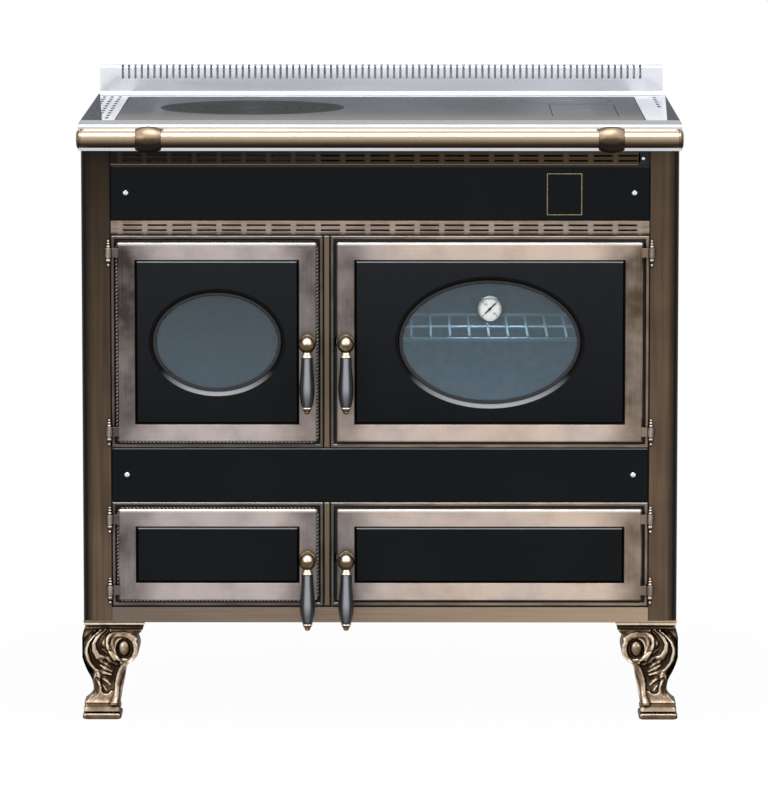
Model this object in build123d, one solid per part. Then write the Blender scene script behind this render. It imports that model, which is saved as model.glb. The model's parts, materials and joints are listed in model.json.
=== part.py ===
from build123d import *
import math
import os

os.makedirs("parts", exist_ok=True)

# Wood-burning range cooker, in millimetres. The front looks towards -Y, +Z is up, and the origin is on
# the floor under the middle of the overall box. Depths are measured back from the hob's front face.

# ---- driving dimensions -------------------------------------------------------------------------
SEAT_GAP = 0.3            # loose gap between pieces that sit beside or on each other
FIT_GAP = 0.05            # radial running clearance of a turning or sliding fit

# hob frame and cooking plate
HOB_WIDTH = 900.0
HOB_DEPTH = 600.0
HOB_EDGE = 40.0           # height of the folded hob edge
HOB_SHEET = 2.0
HOB_NOSE_R = 7.0
HOB_FLANGE = 20.0         # inward flange that lies on the body
PLATE_SIDE = 51.0         # hob edge to cooking plate, left and right
PLATE_FRONT = 75.0
PLATE_REAR = 60.0
PLATE_T = 10.0
PLATE_LEDGE = 15.0        # width of the ledge that carries the plate
PLATE_CORNER = 6.0

# ring set in the plate
RINGS_SIDE_GAP = 61.0     # largest ring's rim in from the plate's left edge
RINGS_FRONT_GAP = 106.0   # and back from its front edge
RING_RADII = [140.0, 117.0, 95.5, 73.8, 53.0]
RING_T = 6.0
RING_LEDGE = 7.0
LIFT_SLOT = 22.0          # keyhole slot for the lifting tool
LIFT_SLOT_W = 6.0
LIFT_SLOT_T = 3.0

# lids over the flue way and the smoke passage
FLUE_SIDE_GAP = 39.5      # lid's rim to the plate's right edge
FLUE_REAR_GAP = 5.5       # lid's rim to the plate's rear edge
FLUE_BORE_R = 65.0
FLUE_LID_R = 69.5
COLLAR_WALL = 5.0
COLLAR_H = 25.0
ACCESS_SIDE_GAP = 39.0
ACCESS_FRONT_GAP = 77.0
ACCESS_REAR_GAP = 15.5    # access lid to the flue lid
ACCESS_W = 98.0
ACCESS_LEDGE = 6.0

# splashback
SPLASH_IN = 4.0           # splashback's ends in from the hob's
SPLASH_H = 48.0
SPLASH_DEPTH = 25.0
SPLASH_BEND_R = 6.0
SPLASH_SHEET = 1.5
SPLASH_FOOT_H = 6.0
SPLASH_FOOT_OUT = 5.0
SPLASH_PITCH = 10.0
SPLASH_END = 28.0         # plain ends beyond the slots
SPLASH_SLOT_W = 3.6
SPLASH_SLOT_DROP = 22.0

# towel rail
RAIL_R = 12.5
RAIL_REACH = 42.0         # rail axis in front of the hob face
RAIL_DROP = 19.5          # rail axis below the hob top
RAIL_CAP_T = 4.0
RAIL_CAP_R = 13.5
BALL_R = 20.0
BALL_W = 38.5
BALL_IN = 106.5           # ball's middle in from the rail's end
BALL_STEM_R = 8.0
BALL_ROSE_R = 13.0
BALL_ROSE_T = 3.0

# body
HOB_LAP = 3.0             # hob beyond the body at each side
HOB_REAR_LAP = 10.0
COLUMN_W = 43.0
COLUMN_D = 48.0
COLUMN_SHEET = 3.0
COLUMN_R = 12.0
COLUMN_FRONT = 12.0       # depth of the columns' front face
FRAME_FRONT = 18.0        # depth of the front sheet
FRAME_T = 3.0
SHEET = 3.0               # casings, side, back and base sheets
FOOT_H = 150.0
SKIRT_H = 23.5
ROW_GAP = 2.0             # between the rows of the front
LOWER_ROW_H = 157.0
UPPER_ROW_H = 319.0
BAND_H = 79.5
BAND_T = 5.0
STRIP_H = 20.5
STRIP_T = 5.0
ROW_SIDE_GAP = 1.5        # rows of the front to the columns
SCREW_R = 4.8
SCREW_H = 3.0
SCREW_IN = 24.0           # screw centre in from the band's end

# slotted strips
STRIP_PITCH = 37.0
STRIP_END = 10.0          # plain ends beyond the slots
STRIP_SLOT_L = 28.5
STRIP_SLOT_W = 2.8
STRIP_ROW_STEP = 7.5
AIRWAY_MARGIN = 4.0

# doors
LEFT_BAY = 317.0          # width of the left-hand trim frame
DIVIDER_GAP = 11.5        # between the two trim frames
DIVIDER_W = 8.5
TRIM_W = 5.0
TRIM_T = 6.0
DOOR_GAP = 4.5
DOOR_FRONT = 4.0
DOOR_T = 13.5
DOOR_CORNER = 2.5
STILE = 27.5
STILE_CHAMFER = 2.0
OPENING_LAP = 6.0
PANEL_GAP = 0.8
PANEL_RECESS = 1.2
PANEL_T = 7.5
PANEL_CHAMFER = 1.6
PANEL_LIP = 6.0
ROPE_R = 4.0

# oval windows: (width, height) of the clear glass and of the bevel's outer rim
FIRE_OVAL_IN = (28.0, 50.5)       # the glass oval in from the frame's clear width and height
OVEN_OVAL_IN = (68.25, 32.0)
OVAL_BEVEL = 9.0
GLASS_T = 4.0
GLASS_LAP = 7.0
CLAMP_LAP = 7.0
CLAMP_T = 2.5

# hinges
HINGE_OUT = 2.0           # hinge axis beyond the column's inner edge
HINGE_D = 6.0
KNUCKLE_R = 5.75
KNUCKLE_H = 14.0
KNUCKLE_IN = 8.0          # knuckle in from the door's top and bottom
PIN_R = 2.5
ARM_T = 3.0
FINIAL_H = 12.0
TIP_H = 16.0
PIN_BALL_R = 4.5
BRACKET_R = 1.75

# door handles
GRIP_BALL_R = 12.5
GRIP_REACH = 30.0         # ball centre in front of the door
NECK_R = 6.5
ROSE_R = 13.0
ROSE_T = 3.0
COLLAR_R = 8.0
COLLAR_L = 6.0
GRIP_L = 75.0
GRIP_TOP_R = 8.0
GRIP_BELLY_R = 10.8
GRIP_END_R = 7.6
ROD_R = 3.0
CAP_L = 11.0
CAP_R = 7.2
SPINDLE_R = 4.0
TONGUE_L = 15.0
TONGUE_W = 8.0
TONGUE_T = 3.0
NOTCH_GAP = 2.5
LOWER_LATCH_DROP = 6.0    # lower handles sit this far under their door's middle

# oven thermometer
DIAL_R = 19.5
DIAL_DROP = 40.5          # dial centre below the oval's top
DIAL_CASE_T = 7.0
DIAL_RIM = 2.5
DIAL_RECESS = 3.5
NEEDLE_L = 13.0
NEEDLE_T = 0.8
NEEDLE_HUB_R = 2.2
NEEDLE_PIN_R = 0.9
STEM_R = 4.0
STEM_L = 60.0

# damper pull
PULL_IN = 11.4            # pull in from the column's inner edge
PULL_R = 2.5
PULL_KNOB_R = 3.6
PULL_RECESS = 14.0
SHELF_DROP = 13.0         # smoke shelf below the pull
PORT_W = 130.0
PORT_D = 60.0
DAMPER_LAP = 8.0

# inside
FIREBOX_DEPTH = 409.0
BRICK_T = 30.0
BRICK_H = 262.0
BRICK_IN = 40.0           # bricks behind the casing's front
GRATE_W = 200.0
GRATE_D = 250.0
GRATE_T = 12.0
GRATE_SLOT = 8.0
GRATE_END = 8.0
GRATE_PITCH = 20.0
BAFFLE_T = 12.0
BAFFLE_D = 220.0
OVEN_DEPTH = 459.0
RUNNER_W = 10.0
RUNNER_T = 4.0
RUNNER_STEP = 65.0
RACK_DROP = 4.5           # shelf's underside below the oven's middle
RACK_FRONT = 60.0
RACK_DEPTH = 330.0
RACK_EDGE_R = 3.0
RACK_WIRE_R = 2.0
RACK_PITCH = 29.4
RACK_END = 40.0
ASH_DEPTH = 380.0
PAN_H = 55.0
PAN_WALL = 2.0
PAN_GAP = 10.0
PAN_LIP = 12.0
STORE_DEPTH = 459.0
SMOKE_PORT_W = 220.0
SMOKE_PORT_H = 90.0

# feet
FOOT_PLATE_T = 10.0
FOOT_PLATE_X = (-27.0, 65.0)      # from the base's middle, positive towards the stove's middle
FOOT_PLATE_D = (-2.0, 84.0)       # from the foot's front
FOOT_IN = 27.0                    # foot's base centre in from the body's side
FOOT_FRONT = 16.0                 # depth of the foot's front
FOOT_BASE = (54.0, 54.0)
FOOT_BASE_BACK = 4.0              # base behind the foot's front
FOOT_CORNER = 5.0
FOOT_TIER = 9.0
FOOT_TIER_OUT = 2.0
FOOT_NECK = 8.0
FOOT_BOW = (26.0, 29.5, 26.0, 19.0, 11.0, 16.0, 26.0)     # leg's outer side, from the plate down
FOOT_ANKLE = (27.0, 30.0, 34.0, 36.0)                     # leg's inner side, from the base up
FOOT_KNEE = (4.0, 0.0, 3.0, 14.0, 12.0, 4.0)              # leg's front, from the plate down
FOOT_CALF = (58.0, 52.0, 60.0, 76.0, 82.0)                # leg's rear, from the base up
VOLUTE_R = 22.0
VOLUTE_RIM = 1.0                  # the roll stands this much proud of the leg
VOLUTE_X = 38.0
VOLUTE_DROP = 39.0                # volute's centre below the foot's top
VOLUTE_D = (2.0, 70.0)            # from the foot's front
EYE_R = 10.0
EYE_H = 4.0
REAR_FOOT_R = 14.0
REAR_PAD_R = 21.0
REAR_PAD_H = 14.0
REAR_FOOT_IN = 27.0
REAR_FOOT_BACK = 45.0             # rear foot's middle in from the body's rear


# ---- derived places -----------------------------------------------------------------------------
FRONT_Y = (RAIL_REACH + BALL_R - HOB_DEPTH) / 2

BASE_TOP = FOOT_H + SHEET
LOWER_ROW = (FOOT_H + SKIRT_H + ROW_GAP, FOOT_H + SKIRT_H + ROW_GAP + LOWER_ROW_H)
LOWER_BAND = (LOWER_ROW[1] + ROW_GAP, LOWER_ROW[1] + ROW_GAP + BAND_H)
UPPER_ROW = (LOWER_BAND[1] + ROW_GAP, LOWER_BAND[1] + ROW_GAP + UPPER_ROW_H)
LOWER_STRIP = (UPPER_ROW[1] + ROW_GAP, UPPER_ROW[1] + ROW_GAP + STRIP_H)
UPPER_BAND = (LOWER_STRIP[1] + ROW_GAP, LOWER_STRIP[1] + ROW_GAP + BAND_H)
UPPER_STRIP = (UPPER_BAND[1] + ROW_GAP, UPPER_BAND[1] + ROW_GAP + STRIP_H)
BODY_TOP = UPPER_STRIP[1] + ROW_GAP
HOB_TOP = BODY_TOP + HOB_EDGE

HALF_BODY = HOB_WIDTH / 2 - HOB_LAP
BODY_REAR = HOB_DEPTH - HOB_REAR_LAP
BAY_EDGE = HALF_BODY - COLUMN_W
LEFT_ROW_X = (-BAY_EDGE + ROW_SIDE_GAP, -BAY_EDGE + ROW_SIDE_GAP + LEFT_BAY)
RIGHT_ROW_X = (LEFT_ROW_X[1] + DIVIDER_GAP, BAY_EDGE - ROW_SIDE_GAP)
FRAME_REAR = FRAME_FRONT + FRAME_T
DOOR_REAR = DOOR_FRONT + DOOR_T
PANEL_FRONT = DOOR_FRONT + PANEL_RECESS
PANEL_REAR = PANEL_FRONT + PANEL_T
GLASS_REAR = PANEL_REAR + GLASS_T

PLATE_UNDER = HOB_TOP - PLATE_T
LEDGE_UNDER = PLATE_UNDER - HOB_SHEET
PLATE_X = (-HOB_WIDTH / 2 + PLATE_SIDE, HOB_WIDTH / 2 - PLATE_SIDE)
PLATE_SPAN = (PLATE_FRONT, HOB_DEPTH - PLATE_REAR)
RINGS_X = PLATE_X[0] + RINGS_SIDE_GAP + RING_RADII[0]
RINGS_D = PLATE_SPAN[0] + RINGS_FRONT_GAP + RING_RADII[0]
FLUE_X = PLATE_X[1] - FLUE_SIDE_GAP - FLUE_LID_R
FLUE_D = PLATE_SPAN[1] - FLUE_REAR_GAP - FLUE_LID_R
ACCESS_X = (PLATE_X[1] - ACCESS_SIDE_GAP - ACCESS_W, PLATE_X[1] - ACCESS_SIDE_GAP)
ACCESS_D = (PLATE_SPAN[0] + ACCESS_FRONT_GAP, FLUE_D - FLUE_LID_R - ACCESS_REAR_GAP)
SPLASH_WIDTH = HOB_WIDTH - 2 * SPLASH_IN

HINGE_X = BAY_EDGE + HINGE_OUT
PULL_X = BAY_EDGE - PULL_IN
PULL_Z = (UPPER_STRIP[0] + UPPER_STRIP[1]) / 2
SHELF_Z = PULL_Z - SHELF_DROP


# ---- helpers ------------------------------------------------------------------------------------
def count(room, pitch):
    """How many copies fit in a length at a pitch."""
    return int(room / pitch)


def grow(span, by):
    """A (low, high) pair made longer by the same amount at each end."""
    return (span[0] - by, span[1] + by)


def middle(span):
    return (span[0] + span[1]) / 2


def length(span):
    return span[1] - span[0]


def block(x, d, z):
    """A rectangular solid between three pairs of limits."""
    place = Pos(middle(x), FRONT_Y + middle(d), middle(z))
    return place * Box(length(x), length(d), length(z))


def panel(x, z, corner=0.0):
    """A flat rectangle as seen from the front, its corners rounded if asked."""
    if corner:
        outline = RectangleRounded(length(x), length(z), corner)
    else:
        outline = Rectangle(length(x), length(z))
    return Pos(middle(x), middle(z)) * outline


def oval(width, height, x, z):
    return Pos(x, z) * Ellipse(width / 2, height / 2)


def front_plane(depth):
    """The upright plane at a depth, facing the front, drawn on in X and Z."""
    return Plane(origin=(0, FRONT_Y + depth, 0), x_dir=(1, 0, 0), z_dir=(0, -1, 0))


def sheet(outline, d):
    """A front-facing outline made solid between two depths."""
    return extrude(front_plane(d[1]) * outline, length(d))


def rod_y(x, z, d, radius):
    """A round bar that runs front to back."""
    place = Pos(x, FRONT_Y + middle(d), z) * Rot(90, 0, 0)
    return place * Cylinder(radius, length(d))


def rod_x(x, depth, z, radius):
    """A round bar that runs left to right."""
    place = Pos(middle(x), FRONT_Y + depth, z) * Rot(0, 90, 0)
    return place * Cylinder(radius, length(x))


def rod_z(x, depth, z, radius):
    """An upright round bar."""
    return Pos(x, FRONT_Y + depth, middle(z)) * Cylinder(radius, length(z))


def turned(points, place):
    """A turned piece from its half outline, given as (radius, height) points."""
    outline = make_face(Plane.XZ * Polyline(*points, close=True))
    return place * revolve(outline, Axis.Z)


def open_box(x, d, z, wall):
    """A sheet box that is open at the front."""
    inner = block(grow(x, -wall), (d[0] - 1, d[1] - wall), grow(z, -wall))
    return block(x, d, z) - inner


def save(solid, name):
    export_step(solid, f"parts/{name}.step")


def save_group(solids, name):
    """Several separate solids of one kind, kept together."""
    save(Compound(children=list(solids)), name)


# ---- the four doors' places ----------------------------------------------------------------------
# Each door: its bay in x, its row in z, the side its hinges are on (-1 left, +1 right), and how far
# its window's oval stands in from the frame's clear width and height.
DOORS = {
    "firebox": (LEFT_ROW_X, UPPER_ROW, -1, FIRE_OVAL_IN),
    "oven": (RIGHT_ROW_X, UPPER_ROW, 1, OVEN_OVAL_IN),
    "ash": (LEFT_ROW_X, LOWER_ROW, -1, None),
    "store": (RIGHT_ROW_X, LOWER_ROW, 1, None),
}


def door_x(name):
    return grow(DOORS[name][0], -TRIM_W - DOOR_GAP)


def door_z(name):
    return grow(DOORS[name][1], -TRIM_W - DOOR_GAP)


def opening_x(name):
    return grow(door_x(name), -OPENING_LAP)


def opening_z(name):
    return grow(door_z(name), -OPENING_LAP)


def window_x(name):
    """The frame's clear width, which the panel fills."""
    return grow(door_x(name), -STILE)


def window_z(name):
    return grow(door_z(name), -STILE)


def spindle_x(name):
    """The latch stile's middle line."""
    side = DOORS[name][2]
    edge = door_x(name)[1] if side < 0 else door_x(name)[0]
    return edge + side * STILE / 2


def spindle_z(name):
    """The latch of an upper door is at its middle, and a lower one a little under it."""
    return middle(door_z(name)) - (0 if DOORS[name][3] else LOWER_LATCH_DROP)


def knuckle_spans(name):
    z = door_z(name)
    top = (z[1] - KNUCKLE_IN - KNUCKLE_H, z[1] - KNUCKLE_IN)
    bottom = (z[0] + KNUCKLE_IN, z[0] + KNUCKLE_IN + KNUCKLE_H)
    return [top, bottom]


def tongue_depths():
    front = FRAME_REAR + SEAT_GAP * 3
    return (front, front + TONGUE_T)


def latch_notch(name, depth, drop):
    """The room that a latch tongue needs in a wall, with extra below for its turn."""
    side = DOORS[name][2]
    x = sorted([spindle_x(name), spindle_x(name) - side * (TONGUE_L + NOTCH_GAP)])
    z = grow((spindle_z(name), spindle_z(name)), TONGUE_W / 2 + NOTCH_GAP)
    return block(x, depth, (z[0] - drop, z[1]))


# ---- body ---------------------------------------------------------------------------------------
def strip_slot_count():
    return count(2 * (BAY_EDGE - ROW_SIDE_GAP - STRIP_END), STRIP_PITCH)


def front_frame():
    """The front sheet: four door openings, two airways behind the slotted strips, latch notches."""
    frame = block(grow((-HALF_BODY, HALF_BODY), -COLUMN_R), (FRAME_FRONT, FRAME_REAR), (BASE_TOP, BODY_TOP))
    through = (FRAME_FRONT - 1, FRAME_REAR + 1)
    for name in DOORS:
        frame -= block(opening_x(name), through, opening_z(name))
        frame -= latch_notch(name, through, 0)
    for strip in (LOWER_STRIP, UPPER_STRIP):
        half = strip_slot_count() * STRIP_PITCH / 2
        frame -= block((-half, half), through, grow(strip, -AIRWAY_MARGIN))
    return frame - rod_y(PULL_X, PULL_Z, through, PULL_R + FIT_GAP)


def column(side):
    """A folded corner post with a rounded front corner and a lip back to the front sheet."""
    outer = Rectangle(COLUMN_W, COLUMN_D)
    corner = outer.vertices().sort_by(Axis.X)[:2].sort_by(Axis.Y)[0]
    outer = fillet(corner, COLUMN_R)
    inner = Pos(COLUMN_SHEET, COLUMN_SHEET) * Rectangle(COLUMN_W, COLUMN_D)
    corner = inner.vertices().sort_by(Axis.X)[:2].sort_by(Axis.Y)[0]
    inner = fillet(corner, COLUMN_R - COLUMN_SHEET)
    lip_d = FRAME_FRONT - COLUMN_FRONT
    lip = Pos((COLUMN_W - COLUMN_SHEET) / 2, (lip_d - COLUMN_D) / 2) * Rectangle(COLUMN_SHEET, lip_d)
    section = (outer - inner) + lip
    place = Pos(-HALF_BODY + COLUMN_W / 2, FRONT_Y + COLUMN_FRONT + COLUMN_D / 2, BASE_TOP)
    post = extrude(place * section, BODY_TOP - BASE_TOP)
    return post if side < 0 else mirror(post, Plane.YZ)


def side_panel(side):
    x = sorted([side * HALF_BODY, side * (HALF_BODY - SHEET)])
    return block(x, (COLUMN_FRONT + COLUMN_D, BODY_REAR), (BASE_TOP, BODY_TOP))


def back_panel():
    x = grow((-HALF_BODY, HALF_BODY), -SHEET)
    return block(x, (BODY_REAR - SHEET, BODY_REAR), (BASE_TOP, BODY_TOP))


def base_tray():
    """The floor sheet, folded up at the front between the columns as the skirt."""
    floor = block((-HALF_BODY, HALF_BODY), (COLUMN_FRONT, BODY_REAR), (FOOT_H, BASE_TOP))
    skirt_x = grow((-BAY_EDGE, BAY_EDGE), -SEAT_GAP)
    skirt = block(skirt_x, (COLUMN_FRONT, COLUMN_FRONT + SHEET), (FOOT_H, FOOT_H + SKIRT_H))
    bend = block(skirt_x, (COLUMN_FRONT, FRAME_FRONT), (FOOT_H + SKIRT_H - SHEET, FOOT_H + SKIRT_H))
    return floor + skirt + bend


def band(z):
    """A black enamelled cover between the rows of doors."""
    x = grow((-BAY_EDGE, BAY_EDGE), -ROW_SIDE_GAP)
    cover = sheet(panel(x, z, DOOR_CORNER), (FRAME_FRONT - BAND_T, FRAME_FRONT))
    rim = cover.faces().sort_by(Axis.Y)[0].edges()
    return chamfer(rim, PANEL_CHAMFER / 2)


def band_screws():
    """Four domed screw heads, two on each black cover."""
    dome = math.hypot(SCREW_R, SCREW_H)
    ball_r = dome * dome / (2 * SCREW_H)
    heads = []
    for z in (LOWER_BAND, UPPER_BAND):
        for side in (-1, 1):
            x = side * (BAY_EDGE - SCREW_IN)
            face = FRAME_FRONT - BAND_T
            ball = Pos(x, FRONT_Y + face - SCREW_H + ball_r, middle(z)) * Sphere(ball_r)
            heads.append(ball & rod_y(x, middle(z), (face - SCREW_H - 1, face), SCREW_R))
    return heads


def vent_strip(z):
    """A strip with two rows of long slots."""
    x = grow((-BAY_EDGE, BAY_EDGE), -ROW_SIDE_GAP)
    strip = block(x, (FRAME_FRONT - STRIP_T, FRAME_FRONT), z)
    columns = strip_slot_count()
    first = -(columns - 1) * STRIP_PITCH / 2
    slots = Sketch()
    for column_number in range(columns):
        for row in (-1, 1):
            x = first + column_number * STRIP_PITCH
            z_row = middle(z) + row * STRIP_ROW_STEP / 2
            slots += Pos(x, z_row) * Rectangle(STRIP_SLOT_L, STRIP_SLOT_W)
    return strip - sheet(slots, (FRAME_FRONT - STRIP_T - 1, FRAME_FRONT + 1))


def vent_strips():
    """The lower strip, and the upper one with the recess for the damper pull at its end."""
    recess = block(
        (PULL_X - PULL_RECESS / 2, BAY_EDGE),
        (FRAME_FRONT - STRIP_T - 1, FRAME_FRONT + 1),
        UPPER_STRIP,
    )
    return [vent_strip(LOWER_STRIP), vent_strip(UPPER_STRIP) - recess]


def door_trims():
    """The frame round each door, and the upright fillet between the two bays of a row."""
    pieces = []
    depth = (FRAME_FRONT - TRIM_T, FRAME_FRONT)
    for x, z, _, _ in DOORS.values():
        frame = sheet(panel(x, z) - panel(grow(x, -TRIM_W), grow(z, -TRIM_W)), depth)
        outer = frame.faces().sort_by(Axis.Y)[0].edges()
        pieces.append(chamfer(outer, TRIM_W / 5))
    centre = (LEFT_ROW_X[1] + RIGHT_ROW_X[0]) / 2
    for z in (LOWER_ROW, UPPER_ROW):
        bar = sheet(panel(grow((centre, centre), DIVIDER_W / 2), z), depth)
        pieces.append(chamfer(bar.faces().sort_by(Axis.Y)[0].edges(), TRIM_W / 5))
    return pieces


# ---- hob ----------------------------------------------------------------------------------------
def nosed_block(x, d, z, radius):
    """A block whose upper front edge is rounded."""
    solid = block(x, d, z)
    nose = solid.faces().sort_by(Axis.Y)[0].edges().filter_by(Axis.X).sort_by(Axis.Z)[-1]
    return fillet(nose, radius)


def hob_frame():
    """A folded stainless frame: bullnose front, hollow below, a ledge round the plate's opening."""
    x = (-HOB_WIDTH / 2, HOB_WIDTH / 2)
    d = (0, HOB_DEPTH)
    z = (BODY_TOP, HOB_TOP)
    frame = nosed_block(x, d, z, HOB_NOSE_R)
    inner_z = grow(z, -HOB_SHEET)
    frame -= nosed_block(grow(x, -HOB_SHEET), grow(d, -HOB_SHEET), inner_z, HOB_NOSE_R - HOB_SHEET)
    frame -= block(grow(x, -HOB_FLANGE), grow(d, -HOB_FLANGE), (BODY_TOP - 1, BODY_TOP + HOB_SHEET + 1))
    hole_x = grow(PLATE_X, SEAT_GAP)
    hole_d = grow(PLATE_SPAN, SEAT_GAP)
    frame += block(grow(hole_x, HOB_SHEET), grow(hole_d, HOB_SHEET), (LEDGE_UNDER, HOB_TOP))
    frame -= block(hole_x, hole_d, (PLATE_UNDER, HOB_TOP + 1))
    frame -= block(grow(hole_x, -PLATE_LEDGE), grow(hole_d, -PLATE_LEDGE), (LEDGE_UNDER - 1, HOB_TOP))
    collar_r = FLUE_BORE_R + COLLAR_WALL + SEAT_GAP
    return frame - rod_z(FLUE_X, FLUE_D, (LEDGE_UNDER - 1, PLATE_UNDER), collar_r)


def lift_slot(x, depth):
    """A blind slot in a lid's top for the lifting tool."""
    outline = Pos(x, FRONT_Y + depth, HOB_TOP - LIFT_SLOT_T) * SlotOverall(LIFT_SLOT, LIFT_SLOT_W)
    return extrude(outline, LIFT_SLOT_T + 1)


def cooking_plate():
    """The cast top plate: seats for the ring set and the two lids, and a collar for the flue pipe."""
    plate = block(PLATE_X, PLATE_SPAN, (PLATE_UNDER, HOB_TOP))
    plate = fillet(plate.edges().filter_by(Axis.Z), PLATE_CORNER)
    seat = (HOB_TOP - RING_T, HOB_TOP + 1)
    through = (PLATE_UNDER - COLLAR_H - 1, HOB_TOP)
    collar = (PLATE_UNDER - COLLAR_H, PLATE_UNDER)
    plate += rod_z(FLUE_X, FLUE_D, collar, FLUE_BORE_R + COLLAR_WALL)
    plate -= rod_z(FLUE_X, FLUE_D, seat, FLUE_LID_R + SEAT_GAP)
    plate -= rod_z(FLUE_X, FLUE_D, through, FLUE_BORE_R)
    plate -= rod_z(RINGS_X, RINGS_D, seat, RING_RADII[0] + SEAT_GAP)
    plate -= rod_z(RINGS_X, RINGS_D, through, RING_RADII[0] - RING_LEDGE)
    plate -= block(grow(ACCESS_X, SEAT_GAP), grow(ACCESS_D, SEAT_GAP), seat)
    return plate - block(grow(ACCESS_X, -ACCESS_LEDGE), grow(ACCESS_D, -ACCESS_LEDGE), through)


def ring(number):
    """One ring: it sits in the next larger one, and carries the next smaller one on its inner ledge."""
    outer = RING_RADII[number]
    inner = RING_RADII[number + 1]
    half = RING_T / 2
    top = (HOB_TOP - half, HOB_TOP)
    low = (HOB_TOP - RING_T, HOB_TOP - half)
    first = number == 0
    skirt_r = outer if first else outer - RING_LEDGE - SEAT_GAP
    body = rod_z(RINGS_X, RINGS_D, top, outer) + rod_z(RINGS_X, RINGS_D, low, skirt_r)
    body -= rod_z(RINGS_X, RINGS_D, (top[0], top[1] + 1), inner + SEAT_GAP)
    return body - rod_z(RINGS_X, RINGS_D, (low[0] - 1, low[1]), inner - RING_LEDGE)


def centre_lid():
    radius = RING_RADII[-1]
    half = RING_T / 2
    lid = rod_z(RINGS_X, RINGS_D, (HOB_TOP - half, HOB_TOP), radius)
    lid += rod_z(RINGS_X, RINGS_D, (HOB_TOP - RING_T, HOB_TOP - half), radius - RING_LEDGE - SEAT_GAP)
    return lid - lift_slot(RINGS_X, RINGS_D)


def flue_lid():
    lid = rod_z(FLUE_X, FLUE_D, (HOB_TOP - RING_T, HOB_TOP), FLUE_LID_R)
    return lid - lift_slot(FLUE_X, FLUE_D)


def access_lid():
    lid = block(ACCESS_X, ACCESS_D, (HOB_TOP - RING_T, HOB_TOP))
    return lid - lift_slot(middle(ACCESS_X), middle(ACCESS_D))


def splashback():
    """A folded upstand at the rear whose top bend is slotted from side to side."""
    front = HOB_DEPTH - SPLASH_DEPTH
    top = HOB_TOP + SPLASH_H
    x = (-SPLASH_WIDTH / 2, SPLASH_WIDTH / 2)
    bar = block(x, (front, HOB_DEPTH), (HOB_TOP, top))
    bends = bar.edges().filter_by(Axis.X).group_by(Axis.Z)[-1]
    whole = fillet(bends, SPLASH_BEND_R)
    hollow = block(grow(x, 1), grow((front, HOB_DEPTH), -SPLASH_SHEET), (HOB_TOP - 1, top - SPLASH_SHEET))
    bends = hollow.edges().filter_by(Axis.X).group_by(Axis.Z)[-1]
    shell = whole - fillet(bends, SPLASH_BEND_R - SPLASH_SHEET)
    foot = block(x, (front - SPLASH_FOOT_OUT, front), (HOB_TOP, HOB_TOP + SPLASH_FOOT_H))
    foot_edge = foot.edges().filter_by(Axis.X).group_by(Axis.Y)[0].sort_by(Axis.Z)[-1]
    shell += chamfer(foot_edge, SPLASH_FOOT_OUT - 0.5)
    for side in (-1, 1):
        wall = sorted([side * SPLASH_WIDTH / 2, side * (SPLASH_WIDTH / 2 - SPLASH_SHEET)])
        shell += whole & block(wall, (front, HOB_DEPTH), (HOB_TOP, top))
    slots = Sketch()
    slot_count = count(SPLASH_WIDTH - 2 * SPLASH_END, SPLASH_PITCH)
    for number in range(slot_count):
        x_slot = (number - (slot_count - 1) / 2) * SPLASH_PITCH
        foot_z = top - SPLASH_SLOT_DROP
        slots += Pos(x_slot, top) * Rectangle(SPLASH_SLOT_W, 2 * SPLASH_SLOT_DROP - SPLASH_SLOT_W)
        slots += Pos(x_slot, foot_z + SPLASH_SLOT_W / 2) * Circle(SPLASH_SLOT_W / 2)
    return shell - sheet(slots, (front - 1, HOB_DEPTH - SPLASH_BEND_R))


# ---- towel rail ---------------------------------------------------------------------------------
def towel_rail():
    """A round tube across the front, closed by a ringed cap at each end."""
    z = HOB_TOP - RAIL_DROP
    end = HOB_WIDTH / 2 - RAIL_CAP_T
    tube = rod_x((-end, end), -RAIL_REACH, z, RAIL_R)
    pieces = [tube]
    for side in (-1, 1):
        cap_x = sorted([side * end, side * HOB_WIDTH / 2])
        cap = rod_x(cap_x, -RAIL_REACH, z, RAIL_CAP_R)
        face = cap.faces().sort_by(Axis.X)[-1 if side > 0 else 0]
        pieces.append(fillet(face.edges(), RAIL_CAP_T * 0.6))
    return pieces


def rail_bracket(side):
    """A flattened ball round the rail on a stem from a rose on the hob's face."""
    x = side * (HOB_WIDTH / 2 - BALL_IN)
    z = HOB_TOP - RAIL_DROP
    ball = Pos(x, FRONT_Y - RAIL_REACH, z) * Sphere(BALL_R)
    half = BALL_W / 2
    ball = ball & rod_x((x - half, x + half), -RAIL_REACH, z, BALL_R)
    ball += rod_y(x, z, (-RAIL_REACH, 0), BALL_STEM_R)
    ball += rod_y(x, z, (-BALL_ROSE_T, 0), BALL_ROSE_R)
    return ball - rod_x((x - BALL_W, x + BALL_W), -RAIL_REACH, z, RAIL_R + FIT_GAP)


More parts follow.
